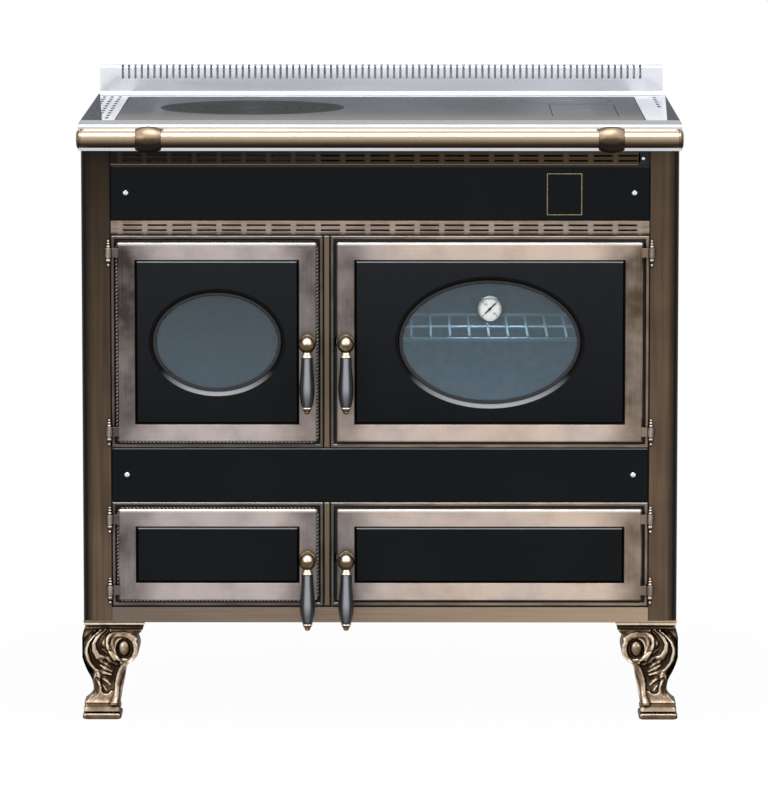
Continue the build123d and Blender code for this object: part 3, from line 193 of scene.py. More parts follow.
# painted shade under the hob's overhang, deeper on the fire's side
on_left = f.span(f.x, 0.1, -0.1, 0.35, 1.0)
hob_shade = f.calc("MULTIPLY", f.span(f.z, 0.34, 0.88), on_left)
patina = f.mix(f.span(f.calc("ADD", strokes, clouds), 0.7, 1.3), "#4b3d30", "#6b5947")
hob_shaded = f.mix(hob_shade, patina, "#241b13")
bronzed_sheet = f.skin(f.mix(fold, hob_shaded, "#120e0a"), strokes, 0.08, 0.0004)

# %% Skirt sheet
f = Finish("bronzed_steel_skirt_rubbed", Metallic=0.85, Roughness=0.42)
# the skirt is rubbed by feet and brooms, more towards the right, in streaks 2 mm wide and 110 mm long
streaks = f.noise((9, 500, 500), 3.0)
rub = f.mix(f.calc("ADD", f.span(f.x, -0.4, 0.4), f.shift(streaks, 0.12), clamp=True), "#6e6157", "#a8927c")
on_front = f.span(f.y, -0.24, -0.25)
skirt_bronze = f.skin(f.mix(on_front, "#5a4b3e", rub), streaks, 0.08, 0.0003)

# %% [markdown]
# ## Antique bronze
# Door frames, trims and slotted strips are bronze-plated, darkened in a bath and then rubbed back by
# hand. A painted reflection makes each level rail palest at its middle and browner towards its ends, while
# the uprights stay taupe, and one turns softly into the other at the corners. Each frame's mesh carries its
# door's middle and half size, and the finish works out from them how far a spot lies in from the door's
# side and from its top or bottom.

# %% Antique bronze
f = Finish("antique_bronze_rubbed_frames", Metallic=0.9, Roughness=0.34)
from_middle = f.vector("SUBTRACT", f.place, f.attribute("door_middle", "Vector"))
inset = f.vector("SUBTRACT", f.attribute("door_half", "Vector"), f.vector("ABSOLUTE", from_middle))
in_x, in_z = f.axis(inset, "X"), f.axis(inset, "Z")
upright = f.span(f.calc("SUBTRACT", in_z, in_x), -0.014, 0.014, curve="SMOOTHSTEP")
# real grain is under 0.3 mm and wouldn't show, so it is drawn 1.6 mm wide and 90 mm long
grain = f.mix(upright, f.noise((11, 600, 600), 3.0), f.noise((600, 600, 11), 3.0), "FLOAT")
# rubbed clouds about 45 mm across shift the tone by a third of its range
clouds = f.noise(22.0, 5.0)
# painted reflection: each level rail is palest at its middle and browner towards its ends; the uprights are paler
# lower down
rail_shine = f.span(in_x, 0.0, 0.085, 0.32, 0.92, "SMOOTHSTEP")
low_down = f.span(f.z, 0.62, 0.44, 0.08, 0.26)
# the stiles beside the handles are touched most
touched = f.span(f.calc("ABSOLUTE", f.calc("ADD", f.x, 0.08)), 0.09, 0.05, 0.0, 0.16)
shine = f.mix(upright, rail_shine, f.calc("ADD", low_down, touched), "FLOAT")
rubbed = f.calc("ADD", shine, f.calc("ADD", f.shift(clouds, 0.18), f.shift(grain, 0.05)), clamp=True)
# the fire side is greyer and the oven side is warmer, and warm stains wander over both
stains = f.span(f.noise(9.0, 3.0), 0.35, 0.65, -0.2, 0.4)
warmth = f.calc("ADD", f.span(f.x, -0.25, 0.3, -0.2, 0.8), stains, clamp=True)
shade = f.mix(rubbed, f.mix(warmth, "#3b3533", "#544538"), f.mix(warmth, "#b9aeac", "#d3beae"))
# a painted highlight along each frame's upper outside edge, and a painted shadow line by the panel
upper = f.span(f.axis(from_middle, "Z"), 0.0, 0.01)
top_edge_highlight = f.calc("MULTIPLY", upper, f.span(in_z, 0.0052, 0.0015, 0.0, 0.85))
panel_gap_shade = f.span(f.calc("MINIMUM", in_x, in_z), 0.0254, 0.0262)
tone = f.mix(panel_gap_shade, f.mix(top_edge_highlight, shade, "#e4dbd3"), "#17120e")
frame_bronze = f.skin(tone, grain, 0.1, 0.0003, Roughness=f.span(clouds, 0.35, 0.65, 0.4, 0.28))

# %% Slotted strips
f = Finish("antique_bronze_rubbed_strips", Metallic=0.9, Roughness=0.38)
grain = f.noise((14, 600, 600), 3.0)
shade = f.mix(f.span(f.calc("ADD", f.noise(20.0, 5.0), grain), 0.7, 1.3), "#77675a", "#a8968a")
# painted shadow of the hob keeps the upper strip dark, most of all on the fire's side
hob_shadow = f.mix(f.span(f.x, -0.3, 0.35), "#1d1713", "#43382b")
tone = f.mix(f.span(f.z, 0.77, 0.83), shade, hob_shadow)
# painted shadow at the lower strip's foot, under the doors' trims
tone = f.mix(f.span(f.z, 0.7415, 0.7380, 0.0, 0.9), tone, "#2c2119")
# painted highlights on the bridges between the slots, 37 mm apart
bridge_highlight = f.span(f.calc("PINGPONG", f.x, 0.0185), 0.0130, 0.0175, 0.0, 0.32)
tone = f.mix(f.calc("MULTIPLY", bridge_highlight, f.span(f.z, 0.83, 0.77, 0.12, 1.0)), tone, "#a8988a")
# the upper strip's lowest millimetre is a brown line, and edges that face up carry a painted highlight
upper_foot = f.calc("MULTIPLY", f.span(f.z, 0.8432, 0.8426), f.span(f.z, 0.80, 0.82))
tone = f.mix(upper_foot, tone, "#6d5b46")
tone = f.mix(f.span(f.axis(f.normal, "Z"), 0.3, 0.75), tone, "#d3c2b0")
strip_bronze = f.skin(tone, grain, 0.1, 0.0003)

# %% Trims
f = Finish("antique_bronze_dark_trims", Metallic=0.9, Roughness=0.36)
# rubbed patches about 60 mm long along thin edges, taupe by the fire and pinker by the oven
clouds = f.noise(16.0, 3.0)
patch = f.span(clouds, 0.35, 0.65)
tone = f.mix(f.span(f.x, -0.07, 0.1), f.mix(patch, "#4f4743", "#675f5b"), f.mix(patch, "#6f6053", "#938170"))
# the fillet between the doors is rubbed less and stays olive
fillet = f.span(f.calc("ABSOLUTE", f.calc("ADD", f.x, 0.07975)), 0.0052, 0.0042)
tone = f.mix(fillet, tone, "#6f6150")
# a painted highlight on edges that face up
tone = f.mix(f.span(f.axis(f.normal, "Z"), 0.3, 0.7), tone, "#b3aca6")
trim_bronze = f.skin(tone, clouds, 0.05, 0.0003)

# %% [markdown]
# ## Cast bronze
# Hinge pins, handle balls, rail brackets and feet are castings. After the dark bath only the high spots
# are rubbed bright, so hollows stay nearly black. The surface's own direction paints the light: sides that
# face up and to the front take a painted highlight, and sides that turn away take painted shade. Cycles
# also knows how far a spot sinks below its neighbours, which it calls pointiness, and dirt stays there. The
# dial's rim is brushed steel, painted in the same way, and the knobs and collars are brass.

# %% Cast bronze
LIGHT_WAY = (0.0, -0.78, 0.62)


def cast_bronze(name, hollow, skin, high, roughness, lit_from=0.25, shade_from=0.42):
    """Cast metal: dark hollows, a brown skin, and painted light: highlights facing up and front, shade turned
    away.
    """
    f = Finish(name, Metallic=0.9, Roughness=roughness)
    # casting skin with grains about 1.5 mm across, and stains about 12 mm across
    grain, stains = f.noise(650.0, 3.0), f.noise(80.0, 4.0)
    # painted light: a highlight on sides that face up and to the front, and shade on sides that turn away
    cloth = f.cloth(*LIGHT_WAY)
    rubbed = f.span(cloth, lit_from, 0.97, -0.05, 1.0, "SMOOTHSTEP")
    lit_tone = f.mix(f.calc("ADD", rubbed, f.shift(stains, 0.22), clamp=True), skin, high)
    sunk = f.span(add(f.tree, "NewGeometry", {}).outputs["Pointiness"], 0.50, 0.44)
    dark = f.calc("MAXIMUM", f.span(cloth, shade_from, shade_from - 0.4), sunk)
    return f.skin(f.mix(dark, lit_tone, hollow), grain, 0.12, 0.0004)


fitting_bronze = cast_bronze("cast_bronze_rubbed_fittings", "#211a15", "#63564b", "#dacdc4", 0.3, 0.64, 0.62)
bezel_steel = cast_bronze("brushed_steel_bezel", "#2b2e30", "#63686b", "#c4c7c9", 0.3, 0.9, 0.6)
ball_bronze = cast_bronze("cast_bronze_dark_balls", "#211912", "#5d4c3c", "#a8917a", 0.36, 0.80, 0.92)
knob_brass = cast_bronze("aged_brass_turned_knobs", "#221910", "#5f4c33", "#f6eedd", 0.34, 0.76, 0.5)
collar_brass = cast_bronze("rubbed_brass_collars", "#4a3a28", "#c9b28c", "#f3e8d2", 0.24, 0.0)
shade_bronze = cast_bronze("dark_bronze_roses", "#1a140f", "#33281d", "#6a5a46", 0.34)

# %% [markdown]
# ## Satin brass tube
# The towel rail is brass tube, polished along its length and lacquered. Its upper side carries a painted
# highlight and its underside painted brown shade. The surface's own direction gives that: up-facing
# parts take the bright tone.

# %% Satin brass
f = Finish("satin_brass_lacquered_tube", Metallic=0.95, Roughness=0.24)
# painted highlight on the upper side and painted brown shade on the underside
lit_upper_side = f.span(f.axis(f.normal, "Z"), -0.62, 0.72, curve="SMOOTHSTEP")
# polishing lines, drawn 1.5 mm wide and 300 mm long
lines = f.noise((3.3, 650, 650), 2.0)
rail_brass = f.skin(f.mix(lit_upper_side, "#33271c", f.mix(lines, "#cdb295", "#dcc5ab")), lines, 0.05, 0.0002)

# %% [markdown]
# ## Stainless steel and the ground cooking plate
# The hob frame and the splashback are rolled stainless with a near-mirror finish, so they mostly show
# the white studio. The cooking plate and its rings are cast and ground flat: greyer, with grinding marks
# from front to back. Heat has browned the plate a little towards the front, and the hob frame's front strip
# is a warm grey. Seen from the front, a level face mirrors what stands behind the cooker, so a dark tint at
# grazing angles stands for a dark room; the hob frame's two blue-grey side strips are such a painted reflection.

# %% Stainless steel
f = Finish("stainless_steel_bright_rolled", Roughness=0.14, Specular_IOR_Level=0.06)
# rolling lines, drawn 1.5 mm wide and 200 mm long
lines = f.noise((5, 650, 650), 3.0)
bright = f.mix(f.noise(9.0, 3.0), "#c4c9d1", "#dcdde1")
# the splashback's film is milky, so it keeps an even tone
milky = f.span(f.z, 0.9042, 0.9052)
stainless = f.skin(f.mix(milky, bright, "#e6e8ee"), lines, 0.03, 0.0002,
                   Metallic=f.span(milky, 0.0, 1.0, 1.0, 0.6), Roughness=f.span(lines, 0.35, 0.65, 0.10, 0.19))

# %% Ground steel
def ground_steel(name, dark, light, roughness, bands, tint=0.36, heated="#ada099", blue=1.05):
    """Ground steel with marks from front to back and polished bands. It turns to the heated colour towards
    the front; tint is its brightness at grazing angles, and blue how much more of it is blue than red."""
    f = Finish(name, Metallic=1.0, Roughness=roughness,
               Specular_Tint=(tint, tint * math.sqrt(blue), tint * blue, 1))
    # grinding marks, drawn 2 mm wide and 80 mm long
    marks = f.noise((500, 12, 500), 4.0)
    steel = f.mix(f.span(f.calc("ADD", marks, f.noise(7.0, 5.0)), 0.75, 1.3), dark, light)
    # polished bands across the plate, each a place from 0 at its left end to 1 and a brightness
    band = add(f.tree, "FloatCurve", {"Value": f.span(f.x, -0.4, 0.4)})
    points = band.mapping.curves[0].points
    for across, height in bands[1:-1]:
        points.new(across, height)
    points[0].location, points[-1].location = bands[0], bands[-1]
    band.mapping.update()
    heat = f.span(f.y, -0.02, -0.19, curve="SMOOTHSTEP")
    return f.skin(f.mix(heat, f.mix(band.outputs[0], steel, "#a9adb5"), heated), marks, 0.08, 0.0003)


plate_steel = ground_steel("cast_plate_ground_grey", "#4c4e52", "#77787a", 0.3, (
    (0.0, 0.0), (0.06, 0.12), (0.075, 0.5), (0.09, 0.15), (0.45, 0.12), (0.55, 0.2), (0.72, 0.02),
    (0.86, 0.62), (0.93, 0.2), (1.0, 0.1)))
# turned rings catch the light in a bow tie, which is palest across their middle
ring_steel = ground_steel("cast_rings_ground_dark", "#15171b", "#282b31", 0.28, (
    (0.0, 0.0), (0.12, 0.04), (0.215, 0.02), (0.2525, 0.30), (0.29, 0.02), (1.0, 0.0)), 0.075)
# the side strips' blue-grey, dull at grazing angles, is a painted reflection of a dark room
dark_reflection_steel = ground_steel("stainless_painted_dark_reflection", "#717983", "#949ba5", 0.25, ((0.0, 0.0), (1.0, 0.0)),
                           0.055, "#848b95", 1.9)
front_steel = ground_steel("stainless_browned_front", "#aaa6a4", "#bdb9b7", 0.22, ((0.0, 0.1), (1.0, 0.1)),
                           0.64, "#b7b0ac")

# %% [markdown]
# ## Enamel, paint and lacquer
# The black covers and door panels are steel with fired black enamel: a glassy coat over black, smooth
# but for a slight ripple. The inner boxes have matt stove paint. The grips are turned wood under dark
# grey satin lacquer, where a little of the grain still shows in the gloss.

# %% Black enamel
f = Finish("fired_black_enamel", Roughness=0.32, Specular_IOR_Level=0.08)
# a faint blue-grey cloud about 150 mm across
tone = f.mix(f.noise(6.5, 3.0), "#0a0b0d", "#121417")
# the door panels' coat is a bluer grey towards the top
on_panel = f.calc("MULTIPLY", f.span(f.z, 0.725, 0.72), f.span(f.z, 0.425, 0.43))
tone = f.mix(f.calc("MULTIPLY", f.span(f.z, 0.46, 0.70, 0.0, 0.28), on_panel), tone, "#30343a")
# painted shade makes slopes blackest, and edges that face up carry a painted silver-grey highlight
tone = f.mix(f.span(f.axis(f.normal, "Y"), -0.96, -0.85), tone, "#050506")
up_edge = f.span(f.axis(f.normal, "Z"), 0.40, 0.74, curve="SMOOTHSTEP")
# the upper cover's edge lies in the hob's shadow, painted by keeping its highlight faint
up_edge_highlight = f.calc("MULTIPLY", up_edge, f.span(f.z, 0.82, 0.835, 1.0, 0.2))
# fired ripple about 9 mm across
black_enamel = f.skin(f.mix(up_edge_highlight, tone, "#b2b5ba"), f.noise(110.0, 2.0), 0.04, 0.0003)

# %% Stove paint
f = Finish("stove_paint_matt_black", Roughness=0.72)
# sprayed grain about 1.5 mm across
grain = f.noise(650.0, 4.0)
stove_paint = f.skin(f.mix(grain, "#131315", "#26262a"), grain, 0.3, 0.0003)

# %% Lacquered grips
f = Finish("turned_wood_dark_satin_lacquer", Roughness=0.4, Coat_Weight=0.2, Coat_Roughness=0.25,
           Specular_IOR_Level=0.2)
# wood grain 1.5 mm wide and 30 mm long
grain = f.noise((650, 650, 33), 3.0)
# a painted sheen along the front, grey, weaker where the grip faces down
front = f.span(f.axis(f.normal, "Y"), -0.84, -1.0, curve="SMOOTHSTEP")
rubbed = f.calc("MULTIPLY", front, f.span(f.axis(f.normal, "Z"), -0.16, 0.02, 0.35, 1.0))
grip_lacquer = f.skin(f.mix(rubbed, f.mix(grain, "#101114", "#1c1d21"), "#94969c"), grain, 0.1, 0.0002)

# %% [markdown]
# ## Bright, clear and mineral finishes
# Chrome on the screws and the damper's knob is almost a mirror. The panes are clear heat-proof glass that
# looks teal-grey against the steel lining. The fire chamber has rough fireclay and sand-cast iron, and the
# pan, clamps and linings are plain zinc-coated steel with its crystal flakes.

# %% Chrome
f = Finish("bright_chrome_plate", Metallic=1.0, Roughness=0.09)
# haze about 2.5 mm across; a painted dark reflection where the chrome turns away from the front
clear = f.mix(f.noise(400.0, 2.0), "#cfd0d2", "#e6e6e8")
chrome = f.skin(f.mix(f.span(f.cloth(*LIGHT_WAY), 0.68, 0.25), clear, "#4b4b4d"))

# %% Oven glass
f = Finish("heat_proof_glass_clear", Roughness=0.03, IOR=1.5, Transmission_Weight=0.85)
# a film with patches about 70 mm across, darker towards the top
film = f.mix(f.noise(14.0, 4.0), "#7f9fb4", "#91b0c4")
pane_glass = f.skin(f.mix(f.span(f.z, 0.48, 0.67), film, "#627c88"))

# %% Fireclay, cast iron, zinc and rope
def mineral(name, dark, light, roughness, metallic, scale, depth, over=None):
    """A rough material whose grain, of 1 / scale metres, both colours and dents it; over adds to its tone."""
    f = Finish(name, Metallic=metallic, Roughness=roughness)
    grain = f.noise(scale, 5.0)
    tone = f.mix(f.span(grain, 0.35, 0.65), dark, light)
    return f.skin(over(f, tone) if over else tone, grain, 0.5, depth)


def lit_strands(f, yarn):
    """The rope's pale yarn shows only as a painted highlight on crests that face the front; the creases, which
    lie nearer to the rope's middle, take painted shade, and so does the sheltered top run."""
    crest = f.span(f.attribute("from_middle"), 0.0035, 0.0038)
    lit_crest = f.calc("MULTIPLY", crest, f.span(f.axis(f.normal, "Y"), -0.70, -0.93))
    return f.mix(f.calc("MULTIPLY", lit_crest, f.span(f.z, 0.722, 0.714)), "#100f0e", yarn)


fireclay = mineral("pressed_fireclay_brick", "#a8906b", "#d2bd97", 0.95, 0.0, 300.0, 0.0008)
cast_iron = mineral("sand_cast_iron_black", "#232325", "#3e3d3e", 0.75, 0.6, 420.0, 0.0006)
zinc_sheet = mineral("zinc_coated_steel_sheet", "#85888c", "#a9acb0", 0.42, 0.9, 90.0, 0.0001)
sealing_rope = mineral("braided_glass_rope_graphite", "#8f877b", "#e2dace", 0.8, 0.0, 900.0, 0.0004,
                       lit_strands)
dial_white = mineral("dial_face_white_lacquer", "#dfe1e2", "#eff0f0", 0.45, 0.0, 500.0, 0.00002)
dial_ink = mineral("dial_ink_black", "#141414", "#232323", 0.5, 0.0, 900.0, 0.00002)
iron_lip = mineral("pressed_steel_lip_grey", "#3b3f43", "#5b6064", 0.4, 0.5, 200.0, 0.0001)
nickel_wire = mineral("nickel_wire_bright_white", "#e9edef", "#ffffff", 0.3, 0.25, 300.0, 0.00005)
gold_inlay = mineral("gold_inlay_dull", "#7d6c50", "#a8997b", 0.4, 0.8, 300.0, 0.00002)
baked_soot = mineral("baked_soot_and_grease", "#0b0a09", "#171412", 0.75, 0.0, 400.0, 0.00002)

# %% [markdown]
# ## Dressing a CAD node
# A CAD node arrives as loose, flat triangles. For a piece that catches the light, a copy is merged, its
# flat faces are joined, its round faces are shaded smooth, and its sharp edges get a small bevel: folded
# sheet is never razor-sharp, and the bevel is what draws the thin bright line along every real edge. The
# copy then stands for the node, which keeps its place and its joint.

# %% Finish a mesh as a piece
def new_object(name, data):
    """A new object in the scene."""
    made = bpy.data.objects.new(name, data)
    bpy.context.scene.collection.objects.link(made)
    return made


def new_mesh(name, bm):
    """A mesh out of a bmesh, which is freed."""
    mesh = bpy.data.meshes.new(name)
    bm.to_mesh(mesh)
    bm.free()
    return mesh


def finish(bm, name, body, material, stands_for=(), sharp=35):
    """Cleans a mesh, marks its sharp edges, and makes it a piece that rides on a body."""
    bmesh.ops.remove_doubles(bm, verts=bm.verts, dist=0.000005)
    bmesh.ops.recalc_face_normals(bm, faces=bm.faces)
    for face in bm.faces:
        face.smooth = True
    for edge in bm.edges:
        edge.smooth = len(edge.link_faces) == 2 and edge.calc_face_angle() < math.radians(sharp)
    piece = new_object(name, new_mesh(name, bm))
    piece.data.materials.append(material)
    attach(piece, body)
    if stands_for:
        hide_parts(*stands_for)
    return piece


def soften(piece, width, sharp=35):
    """Rounds a piece's sharp edges by a width in millimetres."""
    bevel = piece.modifiers.new("worn edges", "BEVEL")
    bevel.width = width * MM
    bevel.segments = 2
    bevel.limit_method = "ANGLE"
    bevel.angle_limit = math.radians(sharp)
    bevel.harden_normals = True


def merged_copy(node):
    """A copy of a node's triangles, merged, with its flat faces joined."""
    bm = bmesh.new()
    bm.from_mesh(frame["nodes"][node].data)
    bmesh.ops.remove_doubles(bm, verts=bm.verts, dist=0.000005)
    bmesh.ops.dissolve_limit(bm, angle_limit=math.radians(0.4), verts=bm.verts, edges=bm.edges)
    return bm


def dress(node, material, edge=0.0, sharp=35):
    """A merged and softened copy stands for a node."""
    piece = finish(merged_copy(node), "dressed_" + node, body_of[node], material, [node], sharp)
    if edge:
        soften(piece, edge, sharp)


print("nodes to dress:", len(frame["nodes"]))

# %% Dress the body
dress("columns", bronzed_sheet, 0.8)
dress("side_panels", bronzed_sheet, 0.6)
dress("base_tray", skirt_bronze, 0.6)
dress("bands", black_enamel, 0.4)
dress("door_trims", trim_bronze, 0.4)
dress("vent_strips", strip_bronze, 0.35)
# these keep their shape, so each CAD node is only given its finish
for node in ("front_frame", "back_panel", "smoke_shelf", "firebox_casing", "ash_box", "store_box"):
    frame["nodes"][node].data.materials.clear()
    frame["nodes"][node].data.materials.append(stove_paint)
print("body dressed")

# %% [markdown]
# ## Hob
# The hob frame is one folded sheet, but its two side strips carry a painted reflection of a dark room and
# its front strip a warm grey tint, and these strips taper and do not follow the fold. The mesh is cut along
# three lines, and the level faces outside each line take the strips' finishes.

# %% Dress the hob
# each cut is a spot on the line and the way inwards: left, right and front
STRIP_CUTS = ((place(-413.5, 0, 0), (1.0, 0.057, 0)), (place(428.0, 0, 0), (-1.0, 0.038, 0)),
              (place(0, 73.0, 0), (0, 1.0, 0)))
bm = merged_copy("hob_frame")
for on_line, inwards in STRIP_CUTS:
    bmesh.ops.bisect_plane(bm, geom=bm.verts[:] + bm.edges[:] + bm.faces[:], dist=0.000001,
                           plane_co=on_line, plane_no=inwards)
piece = finish(bm, "dressed_hob_frame", "stove", stainless, ["hob_frame"], 30)
piece.data.materials.append(dark_reflection_steel)
piece.data.materials.append(front_steel)
for face in piece.data.polygons:
    if face.normal.z > 0.95 and face.center.z > 0.903:
        left, right, front = [(face.center - on_line).dot(Vector(inwards)) < 0
                              for on_line, inwards in STRIP_CUTS]
        face.material_index = 2 if front else int(left or right)
soften(piece, 0.5, 30)
dress("splashback", stainless, 0.3, 30)
dress("cooking_plate", plate_steel, 0.5, 30)
for node in ("hob_ring_1", "hob_ring_2", "hob_ring_3", "hob_ring_4", "hob_centre_lid"):
    dress(node, ring_steel, 0.35, 30)
dress("flue_lid", plate_steel, 0.35, 30)
dress("access_lid", plate_steel, 0.35, 30)
print("hob dressed, faces of its frame:", len(piece.data.polygons))

# %% [markdown]
# ## Door frames with a grain
# The grain runs along each rail and changes direction at the corners. Every corner of a frame's mesh
# therefore carries its door's middle and half size, which the frame's finish reads. The hinge knuckles on a
# frame were cast with it, but their barrels take the pins' finish with its painted light, and their arms the
# trims'.

# %% Door frames
# each door's limits across and up
DOOR_BOXES = {
    "firebox": ((-393, -95), (425.5, 725.5)),
    "oven": ((-64.5, 393), (425.5, 725.5)),
    "ash": ((-393, -95), (185, 323)),
    "store": ((-64.5, 393), (185, 323)),
}
KNUCKLE_ARM, KNUCKLE_BARREL = 0.3945, 0.4003
for door, (x_limits, z_limits) in DOOR_BOXES.items():
    piece = finish(merged_copy(f"{door}_door_frame"), f"{door}_bronze_frame", f"{door}_door",
                   frame_bronze, [f"{door}_door_frame"])
    centre = place(sum(x_limits) / 2, 0, sum(z_limits) / 2)
    reach = Vector(((x_limits[1] - x_limits[0]) / 2 * MM, 0, (z_limits[1] - z_limits[0]) / 2 * MM))
    for name, value in (("door_middle", centre), ("door_half", reach)):
        piece.data.attributes.new(name, "FLOAT_VECTOR", "POINT")
        piece.data.attributes[name].data.foreach_set("vector", list(value) * len(piece.data.vertices))
    piece.data.materials.append(fitting_bronze)
    piece.data.materials.append(trim_bronze)
    for face in piece.data.polygons:
        if abs(face.center.x) > KNUCKLE_ARM:
            face.material_index = 1 if abs(face.center.x) > KNUCKLE_BARREL else 2
    soften(piece, 0.5)
    dress(f"{door}_door_panel", black_enamel, 0.3, 30)
print("door frames:", len(DOOR_BOXES))

# %% [markdown]
# ## Rings round the glass
# Between each panel and its glass sits a black gasket, and a thin pressed lip inside it. One oval path,
# given a round section by a curve's bevel, is enough for each.

# %% Tubes along a path
def meshed(data):
    """The mesh of a curve or a text, as a bmesh."""
    holder = new_object("holder", data)
    bpy.context.view_layer.update()
    bm = bmesh.new()
    bm.from_mesh(bpy.data.meshes.new_from_object(holder))
    bpy.data.objects.remove(holder)
    return bm


def tubes(paths, radius, resolution):
    """Closed tubes with a radius in millimetres along paths of points."""
    curve = bpy.data.curves.new("tubes", "CURVE")
    curve.dimensions = "3D"
    curve.bevel_depth = radius * MM
    curve.bevel_resolution = resolution
    for path in paths:
        spline = curve.splines.new("POLY")
        spline.points.add(len(path) - 1)
        spline.use_cyclic_u = True
        for point, spot in zip(spline.points, path):
            point.co = (*spot, 1)
    return meshed(curve)


# %% Gaskets and lips
OVEN_X, GLASS_Z, OVAL_POINTS = 164.25, 575.5, 128
for door, x, width, height in (("firebox", -244.0, 187.0, 144.0), ("oven", OVEN_X, 266.0, 181.0)):
    for name, grow, depth, radius, material in (("gasket", 0.6, 10.9, 2.3, stove_paint),
                                                ("lip", -2.6, 11.9, 0.55, iron_lip)):
        angles = [math.tau * i / OVAL_POINTS for i in range(OVAL_POINTS)]
        oval = [place(x + (width / 2 + grow) * math.cos(angle), depth,
                      GLASS_Z + (height / 2 + grow) * math.sin(angle)) for angle in angles]
        finish(tubes([oval], radius, 2), f"{door}_glass_{name}", f"{door}_door",
               material, (), 60)
print("glass rings: 4")

# %% Glass, clamps, insides and the damper
for door in ("firebox", "oven"):
    dress(f"{door}_glass", pane_glass, 0.0, 30)
    dress(f"{door}_glass_clamp", zinc_sheet, 0.3, 30)
dress("oven_box", zinc_sheet)
dress("oven_rack", nickel_wire, 0.0, 50)
dress("ash_pan", zinc_sheet, 0.3)
dress("rear_feet", stove_paint, 0.5, 30)
dress("firebricks", fireclay, 2.0)
dress("smoke_baffle", cast_iron, 1.0)
dress("grate", cast_iron, 0.8)
dress("damper", chrome, 0.2)
print("insides dressed")

# %% [markdown]
# ## Turned pieces
# Balls, grips, pins and the rail are made on a lathe, and the spin operator is Blender's lathe: half of
# the outline is drawn once and spun about the axis. Few outline points are enough, because the surface
# is shaded smooth between them.

# %% The lathe
def move(bm, spot, angle=0.0, axis="Z"):
    """Turns a mesh about the origin, and then moves it to a spot."""
    bmesh.ops.rotate(bm, cent=(0, 0, 0), matrix=Matrix.Rotation(angle, 3, axis), verts=bm.verts)
    bmesh.ops.translate(bm, vec=spot, verts=bm.verts)


def turned(outline, origin, axis=(0, 0, 1), steps=48):
    """Spins a half outline of (radius, along) points in millimetres about an axis through origin."""
    bm = bmesh.new()
    points = [bm.verts.new((radius * MM, 0, along * MM)) for radius, along in outline]
    edges = [bm.edges.new(pair) for pair in zip(points, points[1:])]
    bmesh.ops.spin(bm, geom=points + edges, cent=(0, 0, 0), axis=(0, 0, 1), angle=math.tau, steps=steps,
                   use_merge=True, use_duplicate=False)
    bmesh.ops.remove_doubles(bm, verts=bm.verts, dist=0.000001)
    turn = Vector((0, 0, 1)).rotation_difference(Vector(axis)).to_matrix().to_4x4()
    bmesh.ops.transform(bm, matrix=Matrix.Translation(origin) @ turn, verts=bm.verts)
    return bm


def joined(parts):
    """One bmesh out of several."""
    bm = bmesh.new()
    for part in parts:
        mesh = new_mesh("part", part)
        bm.from_mesh(mesh)
        bpy.data.meshes.remove(mesh)
    return bm


def ball_outline(radius, end, step):
    """Points on a ball's side from its top down to an angle in degrees."""
    angles = [math.radians(a) for a in range(0, end + 1, step)]
    return [(radius * math.sin(a), radius * math.cos(a)) for a in angles]


# %% Towel rail
RAIL_DEPTH, RAIL_Z = -42, 884
ALONG_X, ALONG_Y = (1, 0, 0), (0, 1, 0)
rail_axis = place(0, RAIL_DEPTH, RAIL_Z)
tube = [(11.5, -446), (12.5, -446), (12.5, -440), (12.5, 440), (12.5, 446), (11.5, 446)]
finish(turned(tube, rail_axis, ALONG_X, 64), "rail_tube", "stove", rail_brass, ["towel_rail"])
cap = [(12.5, 443.5), (12.9, 443.3), (13.1, 444.0), (12.4, 444.6), (12.4, 445.4), (13.3, 445.8),
       (13.5, 446.8), (13.2, 448.0), (11.8, 449.2), (9.0, 449.9), (0.0, 450.0)]
caps = joined(turned([(r, side * a) for r, a in cap], rail_axis, ALONG_X, 64) for side in (-1, 1))
finish(caps, "rail_caps", "stove", shade_bronze, ["towel_rail"], 50)
print("rail length in mm:", 2 * cap[-1][1])

# %% [markdown]
# Each bracket is a ball with its two ends turned flat, threaded on the rail, on a short stem from a rose
# on the hob's face. The ball is spun about the rail's axis and the stem about its own.

# %% Rail brackets
half_ball = [(12.6, -18.2), (14.4, -18.6), (15.0, -19.2), (15.8, -18.9), (16.6, -16.8), (17.9, -13.0),
             (19.1, -8.5), (19.7, -4.0), (19.9, 0.0)]
ball = half_ball + [(r, -a) for r, a in half_ball[-2::-1]]
stem = [(8.0, 14.0), (8.0, 36.0), (8.6, 38.2), (11.0, 39.0), (12.6, 39.5), (13.0, 40.6), (13.0, 42.0)]
brackets = joined(turned(*shape) for at in (place(x, RAIL_DEPTH, RAIL_Z) for x in (-343.5, 343.5))
                  for shape in ((ball, at, ALONG_X, 64), (stem, at, ALONG_Y, 48)))
finish(brackets, "rail_bracket_balls", "stove", ball_bronze, ["rail_brackets"], 40)
print("brackets: 2")

# %% [markdown]
# A hinge has a knuckle on the door and a turned pin through it, with a finial above, and a ball and a
# tip below. The eight pins are one outline, spun eight times.

